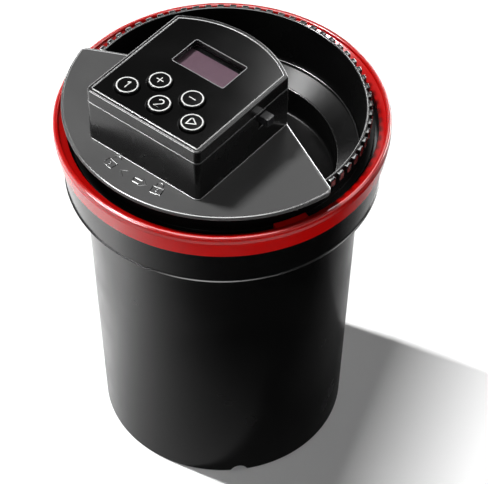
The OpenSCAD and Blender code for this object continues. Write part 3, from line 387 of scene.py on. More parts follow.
@dataclass
class Shell:
    """Grids and flat faces that are gathered into one mesh."""

    points: list[np.ndarray] = field(default_factory=list)
    faces: list[list[int]] = field(default_factory=list)
    count: int = 0
    ridge_at: tuple[float, ...] = (-1.0, -0.85, -0.5, 0.0, 0.5, 0.85, 1.0)
    ridge_tip: float = 0.05

    def grid(self, points: np.ndarray, wrap_u: bool = False, wrap_v: bool = False) -> None:
        """Join a grid of points in quads.

        Args:
            points: rows by columns by 3.
            wrap_u: whether the last row joins the first.
            wrap_v: whether the last column joins the first.
        """
        rows, columns = points.shape[:2]
        index = self.count + np.arange(rows * columns).reshape(rows, columns)
        index = np.vstack([index, index[:1]]) if wrap_u else index
        index = np.hstack([index, index[:, :1]]) if wrap_v else index
        quads = np.stack([index[:-1, :-1], index[1:, :-1], index[1:, 1:], index[:-1, 1:]], -1)
        self.faces += quads.reshape(-1, 4).tolist()
        self.points.append(points.reshape(-1, 3))
        self.count += rows * columns

    def cap(self, loops: Sequence[np.ndarray]) -> None:
        """Fill the flat area inside the first loop and outside the others.

        Args:
            loops: closed loops of points on one plane.
        """
        cells = tessellate_polygon([list(map(Vector, loop.tolist())) for loop in loops])
        self.faces += (np.array(cells) + self.count).tolist()
        self.points.append(np.vstack(loops))
        self.count += sum(map(len, loops))

    def tube(self, block: np.ndarray) -> None:
        """Join closed rows of points in quads and fill the first and the last row.

        Args:
            block: rows by columns by 3.
        """
        self.grid(block, wrap_v=True)
        self.cap([block[0]])
        self.cap([block[-1]])

    def revolve(self, profile: np.ndarray, turns: int = 360, centre: Pair = (0.0, 0.0)) -> None:
        """Turn a closed profile of radius and height about a vertical line."""
        a = circle(turns)[:, None]
        self.grid(turned(profile[None, :, 0], profile[None, :, 1], a, centre), True, True)

    def sector(self, profile: np.ndarray, middle: float, arc: float, steps: int = 12) -> None:
        """Turn a closed profile through an arc, in degrees, centred on a direction, and close its ends."""
        a = np.radians(middle + np.linspace(-arc / 2, arc / 2, steps + 1))[:, None]
        self.tube(turned(profile[None, :, 0], profile[None, :, 1], a))

    def slab(self, outline: Outline, holes: Sequence[Outline], low: float, high: float, edge: float,
             foot: float, steps: int = 6) -> None:
        """A flat piece with rounded edges and holes.

        The edge profile, a quarter circle above and below a straight side, is carried round the outline and
        round each hole, and the faces between them are filled.

        Args:
            outline: the outer edge.
            holes: outlines of the holes.
            low: height of the underside.
            high: height of the top.
            edge: radius of the upper edges.
            foot: radius of the lower edges.
            steps: points of each quarter circle.
        """
        t = np.linspace(0, np.pi / 2, steps)
        upper = np.column_stack([edge * (1 - np.sin(t)), high - edge * (1 - np.cos(t))])
        lower = np.column_stack([foot * (1 - np.cos(t)), low + foot * (1 - np.sin(t))])
        profile = np.vstack([upper, lower])
        tops, feet = [], []
        for sign, line in [(1, outline)] + [(-1, hole) for hole in holes]:
            rings = np.stack([ring(line, sign * inset, z) for inset, z in profile])
            self.grid(rings, wrap_v=True)
            tops.append(rings[0])
            feet.append(rings[-1])
        self.cap(tops)
        self.cap(feet)

    def ridge(self, path: np.ndarray, line: Line, face: float, closed: bool = True) -> None:
        """A raised line on a flat face.

        Its profile is the parabola rise (1 - t^2) across the width, closed by a point as far below the
        face, and is carried along the path; open ends shrink almost to a point.

        Args:
            path: points in plan.
            line: sizes of the line.
            face: height of the face.
            closed: whether the path's end joins its start.
        """
        step = np.roll(path, -1, 0) - np.roll(path, 1, 0) if closed else np.gradient(path, axis=0)
        along = step / np.linalg.norm(step, axis=1)[:, None]
        across = np.column_stack([-along[:, 1], along[:, 0]])
        t = np.append(self.ridge_at, 0)
        rise = np.append(line.rise * (1 - t[:-1] ** 2), -line.rise)
        full = np.ones(len(path))
        if not closed:
            full[[0, -1]] = self.ridge_tip
        plan = path[:, None] + across[:, None] * (t * line.width / 2)[None, :, None] * full[:, None, None]
        heights = face - line.sunk + rise[None] * full[:, None]
        block = np.concatenate([plan, heights[..., None]], -1)
        if closed:
            self.grid(block, True, True)
        else:
            self.tube(block)

    def piece(self, name: str, body: str, finish: Finish, node: str | None = None) -> None:
        """Make the mesh, dress it and let it ride on its body.

        Args:
            name: name of the piece.
            body: the body that it moves with.
            finish: its material.
            node: the solid that it stands for.
        """
        mesh = bpy.data.meshes.new(name)
        mesh.from_pydata((np.vstack(self.points) * MM).tolist(), [], self.faces)
        work = bmesh.new()
        work.from_mesh(mesh)
        bmesh.ops.remove_doubles(work, verts=work.verts, dist=MERGE)
        bmesh.ops.recalc_face_normals(work, faces=work.faces)
        work.to_mesh(mesh)
        work.free()
        mesh.shade_smooth()
        mesh.set_sharp_from_angle(angle=CREASE)
        mesh.materials.append(finish.material())
        made = put(name, mesh)
        made.modifiers.new("even_shading", "WEIGHTED_NORMAL").keep_sharp = True
        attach(made, body)
        if node:
            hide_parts(node)
        LOG.info("%s rides on %s, %d faces", name, body, len(mesh.polygons))


@dataclass
class Tank:
    """The bucket with its collar, and the red locking ring on it."""

    turns: int = 720
    base_r: float = 48.0
    foot_edge: float = 0.9
    foot_in_edge: float = 0.4
    rim_w: float = 4.0
    recess: float = 2.0
    floor: float = 4.4
    wall: float = 2.2
    neck_r: float = 51.8
    collar_z: float = 126.2
    collar_low_r: float = 58.6
    collar_r: float = 60.3
    collar_in_r: float = 58.1
    lip_w: float = 0.5
    lip_foot: float = 0.06
    lip_h: float = 0.3
    lip_top: float = 0.56
    lip_edge: float = 0.14
    lip_ease: float = 0.08
    shelf: float = 128.4
    shelf_in: float = 1.7
    top: float = 149.3
    seat: float = 143.7
    seat_t: float = 2.6
    seat_in_r: float = 53.58
    pivot_r: float = 14.4
    pivot_top: float = 8.2
    notch_w: float = 6.5
    notch_h: float = 3.0
    notch_in: float = 0.5
    notch_angles: Triple = (-43.0, 77.0, 197.0)
    ring_turns: int = 480
    ring_steps: int = 7
    ring_seat: float = 142.1
    ring_r: float = 62.0
    ring_in_r: float = 57.3
    ring_top: float = 152.4
    ring_fit: float = 0.05
    skirt_in: float = 1.0
    skirt_edge: float = 0.35
    groove_in: float = 0.55
    groove_z: float = 1.15
    groove_edge: float = 0.15
    band_z: float = 1.45
    band_edge: float = 0.25
    bead_w: float = 2.0
    bead_h: float = 1.2
    bead_lean: float = 0.05
    bead_edge: float = 0.95
    bead_in_edge: float = 0.85
    bead_foot: float = 0.12
    slope_z: float = 0.4
    lug_angles: Triple = (-25.0, 95.0, 215.0)
    lug_arc: float = 13.0
    lug_steps: int = 20
    lug_depth: float = 2.6
    lug_root: float = 0.4
    lug_low: float = 147.5
    lug_high: float = 149.5
    lug_under: float = 0.2
    lug_foot: float = 0.25
    lug_edge: float = 0.35

    def build(self) -> None:
        """Make the bucket and the ring."""
        self.bucket()
        self.locking_ring()

    def bucket(self) -> None:
        """The wall, collar, seat and floor in one profile turned about the axis.

        At each notch the rim's foot is lifted to the notch's round arch, the larger of the profile's height
        and the arch's height at that place round the rim.
        """
        inner = self.base_r + (self.neck_r - self.base_r) * self.floor / self.collar_z - self.wall
        foot_r = self.base_r - self.rim_w
        lip_r = self.collar_low_r + self.lip_w
        pivot_in_r = self.pivot_r - self.wall
        line = rounded((
            (foot_r, 0, self.foot_in_edge), (self.base_r, 0, self.foot_edge),
            (self.neck_r, self.collar_z, BROAD), (lip_r, self.collar_z, self.lip_edge),
            (lip_r, self.collar_z + self.lip_h, self.lip_ease),
            (self.collar_low_r + self.lip_foot, self.collar_z + self.lip_top, self.lip_ease),
            (self.collar_r, self.ring_seat, SOFT), (self.collar_r, self.top, SOFT),
            (self.collar_in_r, self.top, SOFT), (self.collar_in_r, self.seat, SOFT),
            (self.seat_in_r, self.seat, SOFT), (self.seat_in_r, self.seat - self.seat_t, SOFT),
            (self.collar_in_r - self.shelf_in, self.shelf, BROAD),
            (self.neck_r - self.wall, self.shelf, BROAD), (inner, self.floor, FILLET),
            (self.pivot_r, self.floor, SOFT), (self.pivot_r, self.pivot_top, SOFT),
            (pivot_in_r, self.pivot_top, SOFT), (pivot_in_r, self.floor, SOFT), (0, self.floor, SHARP),
            (0, self.recess, SHARP), (foot_r, self.recess, SOFT)))
        a = circle(self.turns)[:, None]
        r, z = line[None, :, 0], line[None, :, 1]
        near = np.radians(off_nearest(a, self.notch_angles)) * self.base_r
        half = self.notch_w / 2
        arch = self.notch_h - half + np.sqrt(np.maximum(half ** 2 - near ** 2, 0))
        lift = np.where(near < half, np.maximum(arch, 0), 0)
        foot = (r >= foot_r - self.notch_in) & (z < self.notch_h)
        shell = Shell()
        shell.grid(turned(r, np.where(foot, np.maximum(z, lift), z), a), True, True)
        shell.piece("tank_shell", "tank", TANK_ABS, "tank_body")

    def locking_ring(self) -> None:
        """The ring's skirt, band, bead and inner slope in one turned profile, with its three lugs."""
        r, top = self.ring_r, self.ring_top
        out_r, in_r = self.collar_r + self.ring_fit, self.collar_in_r - self.ring_fit
        over, foot = self.top + self.ring_fit, self.lug_low - self.lug_under
        line = rounded((
            (out_r, self.ring_seat, self.groove_edge), (r - self.skirt_in, self.ring_seat, SOFT),
            (r, self.top, self.skirt_edge), (r - self.groove_in, self.top + self.groove_z, self.groove_edge),
            (r, self.top + self.band_z, self.band_edge), (r, top, self.bead_edge),
            (r - self.bead_w, top, self.bead_in_edge),
            (r - self.bead_w - self.bead_lean, top - self.bead_h, self.bead_foot),
            (self.ring_in_r, self.top + self.slope_z, SOFT), (self.ring_in_r, foot, EASED),
            (in_r, foot, FINE), (in_r, over, FINE), (out_r, over, FINE)), self.ring_steps)
        shell = Shell()
        shell.revolve(line, self.ring_turns)
        low, high = self.ring_in_r - self.lug_depth, self.ring_in_r + self.lug_root
        lug = rounded(((low, self.lug_low, self.lug_foot), (high, self.lug_low, CRISP),
                       (high, self.lug_high, CRISP), (low, self.lug_high, self.lug_edge)))
        for angle in self.lug_angles:
            shell.sector(lug, angle, self.lug_arc, self.lug_steps)
        shell.piece("locking_ring_shell", "tank", RING_ABS, "locking_ring")


@dataclass
class Funnel:
    """The funnel lid: bowl, ledge, well, throat tube, flange, grip teeth and keepers."""

    turns: int = 720
    arc_steps: int = 6
    rim_z: float = 157.6
    rim_in_r: float = 52.6
    rim_edge: float = 0.55
    root_r: float = 53.5
    tip_r: float = 54.9
    teeth: int = 72
    tooth_h: float = 3.4
    tooth_w: float = 2.6
    tooth_root: float = 0.4
    tooth_corner: float = 0.45
    tooth_foot: float = 0.3
    tooth_edge: float = 0.4
    tooth_bend: float = 0.12
    tooth_drop: float = 0.02
    ledge_z: float = 136.4
    ledge_r: float = 51.2
    ledge_bend: float = 2.2
    well_top: float = 132.4
    well_r: float = 42.6
    well_z: float = 120.7
    well_edge: float = 1.1
    throat_z: float = 117.7
    throat_edge: float = 1.0
    tube_r: float = 14.2
    tube_in_r: float = 12.7
    tube_z: float = 89.3
    wall: float = 1.4
    flange_z: float = 145.2
    flange_top: float = 147.2
    flange_r: float = 56.0
    flange_edge: float = 0.25
    flange_near: float = 0.05
    gate_r: float = 54.4
    gate_angles: Triple = (-55.0, 65.0, 185.0)
    gate_arc: float = 17.0
    keeper_angles: Pair = (-24.0, -156.0)
    keeper_arc: float = 12.0
    keeper_low: float = 148.6
    keeper_high: float = 150.6
    keeper_depth: float = 2.0
    edge_turns: int = 300
    edge_steps: int = 12
    # Each polished edge: how far outwards and upwards it lies from its corner, and half its width.
    edges: tuple[Triple, ...] = ((0.25, -0.22, 0.3), (-0.5, 0.55, 0.42), (0.35, -0.15, 0.32))

    def bowl_r(self, z: float) -> float:
        """Radius of the bowl's inner wall at a height."""
        share = (z - self.ledge_z) / (self.rim_z - self.ledge_z)
        return self.ledge_r + (self.rim_in_r - self.ledge_r) * share

    def build(self) -> None:
        """Make the bowl with its keepers, the grip and the polished edges."""
        shell = Shell()
        self.bowl(shell)
        self.grip()
        self.lines()
        low = self.bowl_r(self.keeper_low) - self.keeper_depth
        high = self.bowl_r(self.keeper_high) + self.wall / 2
        keeper = rounded(((low, self.keeper_low, EASED), (high, self.keeper_low, CRISP),
                          (high, self.keeper_high, CRISP), (low, self.keeper_high, SOFT)))
        for angle in self.keeper_angles:
            shell.sector(keeper, angle, self.keeper_arc)
        shell.piece("funnel_lid_shell", "lid", FUNNEL_PP, "funnel_lid")

    def bowl(self, shell: Shell) -> None:
        """The lid's profile turned about the axis; at each gate the flange's radius is held to gate_r.

        Args:
            shell: the mesh that takes the surface.
        """
        w, tooth_z = self.wall, self.rim_z - self.tooth_h
        line = rounded((
            (self.rim_in_r, self.rim_z, self.rim_edge), (self.ledge_r, self.ledge_z, self.ledge_bend),
            (self.well_r, self.well_top, self.well_edge), (self.well_r, self.well_z, FILLET),
            (self.tube_in_r, self.throat_z, self.throat_edge), (self.tube_in_r, self.tube_z, SOFT),
            (self.tube_r, self.tube_z, SOFT), (self.tube_r, self.throat_z - w, BROAD),
            (self.well_r + w, self.well_z - w, FILLET), (self.well_r + w, self.well_top - w, BROAD),
            (self.ledge_r + w, self.ledge_z - w, BROAD),
            (self.bowl_r(self.flange_z) + w, self.flange_z, EASED),
            (self.flange_r, self.flange_z, self.flange_edge), (self.flange_r, self.flange_top, SOFT),
            (self.bowl_r(self.flange_top) + w, self.flange_top, EASED),
            (self.bowl_r(tooth_z) + w, tooth_z, CRISP), (self.root_r, tooth_z, CRISP),
            (self.root_r, self.rim_z, SOFT)), self.arc_steps)
        a = circle(self.turns)[:, None]
        r, z = line[None, :, 0], line[None, :, 1]
        gate = off_nearest(a, self.gate_angles) < self.gate_arc / 2
        flange = (z > self.flange_z - self.flange_near) & (z < self.flange_top + self.flange_near)
        shell.grid(turned(np.where(gate & flange, np.minimum(r, self.gate_r), r), z, a), True, True)

    def lines(self) -> None:
        """The polished edges of the rim, the ledge and the well: thin rounds of circular section."""
        shell = Shell()
        t = circle(self.edge_steps)
        corners = ((self.rim_in_r, self.rim_z), (self.ledge_r, self.ledge_z), (self.well_r, self.well_top))
        for (r, z), (out, up, half) in zip(corners, self.edges):
            section = np.column_stack([r + out + half * np.cos(t), z + up + half * np.sin(t)])
            shell.revolve(section, self.edge_turns)
        shell.piece("funnel_edges", "lid", GRIP_PP)

    def grip(self) -> None:
        """The teeth: one rounded block, turned into place for every tooth at once."""
        shell = Shell()
        half, z0, z1 = self.tooth_w / 2, self.rim_z - self.tooth_h, self.rim_z - self.tooth_drop
        outline = rectangle(self.root_r - self.tooth_root, self.tip_r, -half, half, self.tooth_corner)
        profile = ((self.tooth_foot, z0), (0.0, z0 + self.tooth_foot), (0.0, z1 - self.tooth_edge),
                   (self.tooth_bend, z1 - self.tooth_bend), (self.tooth_edge, z1))
        block = np.stack([ring(outline, inset, z) for inset, z in profile])
        a = np.radians(np.arange(self.teeth) * 360 / self.teeth)[:, None, None]
        x, y, z = block[None, ..., 0], block[None, ..., 1], block[None, ..., 2]
        across, along = x * np.cos(a) - y * np.sin(a), x * np.sin(a) + y * np.cos(a)
        for tooth in np.stack(np.broadcast_arrays(across, along, z), -1):
            shell.tube(tooth)
        shell.piece("funnel_grip", "lid", GRIP_PP)


def bow(x: float, y: float, r: float, start: float, end: float, steps: int = 14) -> list[list[float]]:
    """Points of an arc of a symbol, as a list."""
    a = np.radians(np.linspace(start, end, steps + 1))
    return np.column_stack([x + r * np.cos(a), y + r * np.sin(a)]).tolist()


def trace(*corners: Pair, steps: int = 6) -> list[list[float]]:
    """Space points evenly along straight lines from corner to corner.

    Args:
        corners: the corners in order.
        steps: points of each line.

    Returns:
        The points, as a list.
    """
    at = np.array(corners, float)
    t = np.linspace(0, 1, steps, endpoint=False)[None, :, None]
    return np.vstack([(at[:-1, None] * (1 - t) + at[1:, None] * t).reshape(-1, 2), at[-1:]]).tolist()


# Each sign is a row of strokes, and each stroke is its points and whether its end joins its start.
BODY_OF_LOCK = (trace((-1.7, -1.6), (1.7, -1.6), (1.7, 0.9), (-1.7, 0.9), (-1.7, -1.5)), False)
KEYHOLE = (bow(0, -0.35, 0.35, 0, 330), True)
SHACKLE_CLOSED = ([[-1.0, 1.0], [-1.0, 1.6], *bow(0, 1.7, 1.0, 180, 0), [1.0, 1.0]], False)
SHACKLE_OPEN = ([[-1.0, 1.0], [-1.0, 2.2], *bow(0, 2.3, 1.0, 180, 10)], False)
ARROW_LEFT = (trace((1.6, -1.5), (-0.6, 0.0), (1.6, 1.5)), False)
ARROW_RIGHT = (trace((-2.2, -0.8), (0.4, -0.8), (0.4, -1.6), (2.2, 0.0), (0.4, 1.6), (0.4, 0.8),
                     (-2.2, 0.8), (-2.2, -0.7)), False)
DASH = (trace((-0.95, 0.0), (0.95, 0.0)), False)
SYMBOLS = {
    1: ((trace((-0.45, 0.55), (0.1, 1.0), (0.1, -1.0)), False),),
    2: (([*bow(0, 0.45, 0.58, 170, -40), [-0.62, -0.98], [0.68, -0.98]], False),),
    3: ((trace((-0.7, 1.0), (0.95, 0.0), (-0.7, -1.0), (-0.7, 0.9)), False),),
    4: (DASH, (trace((0.0, -0.95), (0.0, 0.95)), False)),
    5: (DASH,),
}
# The signs on the plate, each with its distance along the front arc.
PLATE_SIGNS = (
    (-12.6, (BODY_OF_LOCK, KEYHOLE, SHACKLE_OPEN)),
    (-5.6, (ARROW_LEFT,)),
    (4.2, (ARROW_RIGHT,)),
    (13.0, (BODY_OF_LOCK, KEYHOLE, SHACKLE_CLOSED)),
)


@dataclass
class Head:
    """The agitation head: plate, control box, fascia, display trim and buttons."""

    plate_z: float = 157.7
    plate_top: float = 159.3
    plate_r: float = 60.0
    plate_back: float = 2.0
    plate_arc: float = 78.0
    plate_edge: float = 0.75
    plate_foot: float = 0.3
    front_steps: int = 160
    rear_steps: int = 60
    tip_steps: int = 12
    tip_r: float = 3.0
    tip_back: float = 0.6
    motor_hole: Box = (-6.3, 6.3, -16.1, -5.5)
    hole_corner: float = 0.5
    hook_angles: Pair = (-24.0, -156.0)
    hook_arc: float = 12.0
    hook_in_r: float = 47.9
    hook_r: float = 49.7
    hook_tip_r: float = 51.25
    hook_low: float = 146.3
    hook_ledge: float = 148.3
    hook_top: float = 158.5
    box_w: float = 51.5
    box_front: float = 44.5
    box_rear: float = 5.5
    bulge: float = 8.6
    corner_r: float = 2.2
    rear_corner_r: float = 1.2
    least_r: float = 0.4
    wall: float = 1.8
    seam: float = 177.3
    seam_edge: float = 0.4
    top: float = 182.8
    top_edge: float = 0.75
    border: float = 1.6
    under: float = 180.5
    fascia_t: float = 0.8
    fascia_gap: float = 0.12
    fascia_lift: float = 0.01
    fascia_edge: float = 0.36
    fascia_foot: float = 0.02
    window: Box = (-11.5, 11.5, -13.7, -0.3)
    display_z: float = 179.7
    mask_w: float = 1.8
    mask_over: float = 0.4
    mask_corner: float = 0.1
    mask_thin: float = 0.005
    mask_top: float = 0.03
    buttons: tuple[Pair, ...] = ((-14.8, -34.4), (0.0, -34.4), (14.8, -34.4), (-7.4, -25.3), (7.4, -25.3))
    button_r: float = 4.35
    button_hole_r: float = 4.65
    button_foot: float = 177.2
    button_top: float = 183.8
    button_crown: float = 0.05
    button_turns: int = 64
    hole_turns: int = 48
    stem_r: float = 1.7
    flange_w: float = 0.9
    flange_low: float = 179.3
    flange_high: float = 180.2
    print_r: float = 3.74
    print_steps: int = 72
    symbol_scale: float = 1.85
    sign_r: float = 50.2
    sign_scale: float = 1.25
    rim_in: float = 0.55
    trim_out: float = 0.06
    hairline_out: float = 0.25
    rim_line: Line = Line(0.9, 0.14, 0.06)
    print_line: Line = Line(0.62, 0.05, 0.01)
    symbol_line: Line = Line(0.6, 0.05, -0.02)
    sign_line: Line = Line(0.5, 0.25)
    trim_line: Line = Line(0.5, 0.12, 0.02)
    hairline: Line = Line(0.3, 0.03)
    foot_bead: Line = Line(0.5, 0.15, -0.15)
    seam_bead: Line = Line(0.6, 0.08, 0.2)

    def build(self) -> None:
        """Make the head's pieces in order."""
        self.plate()
        self.upper_shell()
        self.fascia()
        self.signs()
        self.trim()
        for k, place in enumerate(self.buttons, 1):
            self.button(k, place)

    def rear(self) -> Pair:
        """Radius and centre of the box's rear arc, which spans its width and bulges behind its corners."""
        r = ((self.box_w / 2) ** 2 + self.bulge ** 2) / (2 * self.bulge)
        return r, self.box_rear + self.bulge - r

    def box(self, inset: float) -> Outline:
        """The box's outline moved inwards: two front corners, two rear corners and the rear arc.

        Args:
            inset: distance inwards from the outer wall.

        Returns:
            The arcs, counter-clockwise from the front right corner.
        """
        x, y = self.box_w / 2 - inset, self.box_front - inset
        r, q = max(self.corner_r - inset, self.least_r), max(self.rear_corner_r - inset, self.least_r)
        arc_r, arc_y = self.rear()
        arc_r -= inset
        rise = math.sqrt((arc_r - q) ** 2 - (x - q) ** 2)
        b = math.degrees(math.atan2(rise, x - q))
        return (Arc(x - r, -y + r, r, -90, 0), Arc(x - q, arc_y + rise, q, 0, b),
                Arc(0, arc_y, arc_r, b, 180 - b, self.rear_steps),
                Arc(q - x, arc_y + rise, q, 180 - b, 180), Arc(r - x, -y + r, r, 180, 270))

    def fan(self) -> Outline:
        """The plate's outline: the front arc, two rounded tips and the box's rear arc.

        Each tip is a circle that touches the front arc from inside and the straight side, which runs from
        the box's rear corner to the end of the arc.

        Returns:
            The arcs, counter-clockwise from the left end of the front arc.
        """
        arc_r, arc_y = self.rear()
        a = math.radians(self.plate_arc)
        corner = np.array([self.box_w / 2, self.box_rear - self.tip_back])
        mid = np.array([0.0, self.plate_back])
        tip = mid + self.plate_r * np.array([math.sin(a), -math.cos(a)])
        along = (tip - corner) / np.linalg.norm(tip - corner)
        inward = np.array([along[1], -along[0]])
        start = corner + inward * self.tip_r - mid
        dot = start @ along
        reach = math.sqrt(dot ** 2 - start @ start + (self.plate_r - self.tip_r) ** 2) - dot
        centre = start + along * reach
        out = math.degrees(math.atan2(-inward[1], -inward[0]))
        turn = math.degrees(math.atan2(centre[1], centre[0]))
        x, y = centre + mid
        b = math.degrees(math.atan2(self.box_rear - arc_y, self.box_w / 2))
        return (Arc(0, self.plate_back, self.plate_r, 180 - turn, 360 + turn, self.front_steps),
                Arc(x, y, self.tip_r, turn, out, self.tip_steps),
                Arc(0, arc_y, arc_r, b, 180 - b, self.rear_steps),
                Arc(-x, y, self.tip_r, 180 - out, 180 - turn, self.tip_steps))

    def plate(self) -> None:
        """The fan-shaped plate with rounded edges, the two hooks under it and its polished rim."""
        shell = Shell()
        hole = rectangle(*self.motor_hole, self.hole_corner)
        shell.slab(self.fan(), [hole], self.plate_z, self.plate_top, self.plate_edge, self.plate_foot)
        hook = rounded((
            (self.hook_in_r, self.hook_low, EASED), (self.hook_tip_r, self.hook_low, EASED),
            (self.hook_tip_r, self.hook_ledge, EASED), (self.hook_r, self.hook_ledge, EASED),
            (self.hook_r, self.hook_top, CRISP), (self.hook_in_r, self.hook_top, CRISP)))
        for angle in self.hook_angles:
            shell.sector(hook, angle, self.hook_arc)
        shell.piece("head_plate", "head", PLATE_ABS, "base_plate")
        rim = Shell()
        rim.ridge(flat(self.fan(), self.rim_in), self.rim_line, self.plate_top)
        rim.piece("plate_rim", "head", EDGE_ABS)

    def holes(self, ease: float = 0.0) -> list[Outline]:
        """List the openings of the window and the buttons.

        Args:
            ease: how much larger they are made.

        Returns:
            The window's outline and then the buttons'.
        """
        x0, x1, y0, y1 = self.window
        r = self.button_hole_r + ease
        spots = [(Arc(x, y, r, 0, 360, self.hole_turns),) for x, y in self.buttons]
        return [rectangle(x0 - ease, x1 + ease, y0 - ease, y1 + ease, self.hole_corner + ease), *spots]

    def upper_shell(self) -> None:
        """The cap of the box.

        The profile runs from the seam up the wall, over the border and down to the shelf under the fascia;
        the shelf is filled round the openings, whose walls go down to its underside.
        """
        shell = Shell()
        shelf = self.top - self.fascia_t
        steps = 6
        line = rounded(((self.wall, self.seam, SHARP), (0, self.seam, self.seam_edge),
                        (0, self.top, self.top_edge), (self.border, self.top, SOFT),
                        (self.border, shelf, SHARP)), steps)
        outer, inner = self.box(0), self.box(self.wall)
        rings = [ring(outer, inset, z) for inset, z in line[steps + 1:-steps - 1]]
        rings.append(ring(self.box(self.border), 0, shelf))
        shell.grid(np.stack(rings), wrap_v=True)
        openings = self.holes()
        tops = [ring(hole, 0, shelf) for hole in openings]
        feet = [ring(hole, 0, self.under) for hole in openings]
        shell.cap([rings[-1], *tops])
        for upper, lower in zip(tops, feet):
            shell.grid(np.stack([upper, lower]), wrap_v=True)
        ceiling, lip = ring(inner, 0, self.under), ring(inner, 0, self.seam)
        shell.cap([ceiling, *feet])
        shell.grid(np.stack([ceiling, lip, rings[0]]), wrap_v=True)
        shell.piece("upper_shell", "head", CASE_ABS, "upper_housing")

    def fascia(self) -> None:
        """The inset top panel, a thin slab with eased edges round the window and the buttons."""
        shell = Shell()
        low = self.top - self.fascia_t + self.fascia_lift
        shell.slab(self.box(self.border + self.fascia_gap), self.holes(self.fascia_foot), low, self.top,
                   self.fascia_edge, self.fascia_foot)
        shell.piece("fascia", "head", FASCIA_FILM, "fascia_panel")

    def button(self, k: int, place: Pair) -> None:
        """A button: cap, flange and stem in one turned profile, with a printed ring and a plain symbol.

        Args:
            k: the button's number.
            place: its centre in plan.
        """
        r, top, flange_r = self.button_r, self.button_top, self.button_r + self.flange_w
        line = rounded((
            (0, self.button_foot, SHARP), (self.stem_r, self.button_foot, EASED),
            (self.stem_r, self.flange_low, FINE), (flange_r, self.flange_low, EASED),
            (flange_r, self.flange_high, EASED), (r, self.flange_high, FINE), (r, top, SOFT),
            (0, top + self.button_crown, SHARP)))
        shell = Shell()
        shell.revolve(line, self.button_turns, place)
        shell.piece(f"button_cap_{k}", f"button_{k}", BUTTON_ABS, f"button_{k}")
        ink = Shell()
        a = circle(self.print_steps)
        round_line = np.array(place) + self.print_r * np.column_stack([np.cos(a), np.sin(a)])
        ink.ridge(round_line, self.print_line, top)
        for stroke, closed in SYMBOLS[k]:
            ink.ridge(np.array(place) + np.array(stroke) * self.symbol_scale, self.symbol_line, top, closed)
        ink.piece(f"button_print_{k}", f"button_{k}", INK_WHITE)

    def signs(self) -> None:
        """Raised signs along the plate's front: an open lock, two arrows and a closed lock."""
        shell = Shell()
        for x, sign in PLATE_SIGNS:
            bend = x / self.plate_r
            turn = np.array([[math.cos(bend), math.sin(bend)], [-math.sin(bend), math.cos(bend)]])
            centre = self.sign_r * np.array([math.sin(bend), -math.cos(bend)])
            for stroke, closed in sign:
                path = centre + self.sign_scale * np.array(stroke) @ turn
                shell.ridge(path, self.sign_line, self.plate_top, closed)
        shell.piece("plate_marks", "head", EDGE_ABS)

    def trim(self) -> None:
        """The lines round the fascia, the display and the box, and the mask along the display's rear; the
        grey line round the display is a painted highlight.
        """
        edge = Shell()
        edge.ridge(flat(self.box(self.border + self.trim_out)), self.trim_line, self.top)
        edge.piece("fascia_edge", "head", EDGE_ABS)
        # Painted highlight: a pale grey line round the window stands for the light along its edge.
        hairline = Shell()
        hairline.ridge(flat(self.holes(self.hairline_out)[0]), self.hairline, self.top)
        hairline.piece("display_painted_highlight", "head", HAIRLINE_HIGHLIGHT_GREY)
        x0, x1, _, y1 = self.window
        over, thin = self.mask_over, self.mask_thin
        mask = Shell()
        mask.slab(rectangle(x0 - over, x1 + over, y1 - self.mask_w, y1 + over, self.mask_corner), [],
                  self.display_z + thin, self.display_z + self.mask_top, thin, thin)
        mask.piece("display_mask", "head", FASCIA_FILM)
        self.bead("box_foot_bead", self.foot_bead, self.plate_top)
        self.bead("box_seam_bead", self.seam_bead, self.seam)

    def bead(self, name: str, line: Line, level: float, steps: int = 16) -> None:
        """A thin half-round line on the box's wall: an ellipse in section, carried round the box's outline.

        Args:
            name: name of the piece.
            line: its height on the wall, how far it stands out and how far it lies below the level.
            level: the height that it is set from.
            steps: points of the ellipse.
        """
        z, half, outline = level - line.sunk, line.width / 2, self.box(0)
        rings = [ring(outline, -line.rise * np.cos(t), z + half * np.sin(t)) for t in circle(steps)]
        shell = Shell()
        shell.grid(np.stack(rings), True, True)
        shell.piece(name, "head", EDGE_ABS)


@dataclass
class Works:
    """The solids that keep their own shape: the box's wall, the switch, the display and the drive."""

    finishes: tuple[tuple[Finish, tuple[str, ...]], ...] = (
        (CASE_ABS, ("lower_housing",)),
        (KNOB_NYLON, ("power_slider",)),
        (PANE_PC, ("display_window",)),
        (DISPLAY_GLASS, ("display_module",)),
        (SEAL_RUBBER, ("lid_seal", "spindle_seal", "key_switches")),
        (BOARD_MASK, ("control_board",)),
        (PLATED_STEEL, ("slide_switch", "charge_socket", "gear_plate", "motor_can")),
        (SCREW_STEEL, ("board_screws", "case_screws", "pod_screws", "gear_plate_screws", "motor_screws",
                       "spindle_clip")),
        (CELL_FOIL, ("battery_cell",)),
        (TANK_ABS, ("drive_pod", "centre_column")),
        (GEAR_BRASS, ("motor_gearbox", "motor_pinion", "upper_bush", "lower_bush")),
        (SPINDLE_STEEL, ("motor_shaft", "drive_spindle", "coupler_pin")),
        (GEAR_ACETAL, ("drive_gear", "drive_coupler")),
        (REEL_STYRENE, ("reel_1_lower", "reel_1_upper", "reel_2_lower", "reel_2_upper")),
        (CLIP_PP, ("column_clip",)),
    )
    eased: tuple[tuple[str, float], ...] = (("lower_housing", 0.4), ("power_slider", 0.3))
    ease_steps: int = 3

    def build(self) -> None:
        """Dress each solid and ease the edges of those that show."""
        for finish, names in self.finishes:
            for name in names:
                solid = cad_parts[name]
                solid.data.materials.clear()
                solid.data.materials.append(finish.material())
                LOG.info("%s keeps its solid, in %s", name, finish.name)
        for name, radius in self.eased:
            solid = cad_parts[name]
            solid.modifiers.new("joined", "WELD").merge_threshold = MERGE
            ease = solid.modifiers.new("eased_edges", "BEVEL")
            ease.width = radius * MM
            ease.segments = self.ease_steps
            ease.limit_method = "ANGLE"
            ease.angle_limit = CREASE


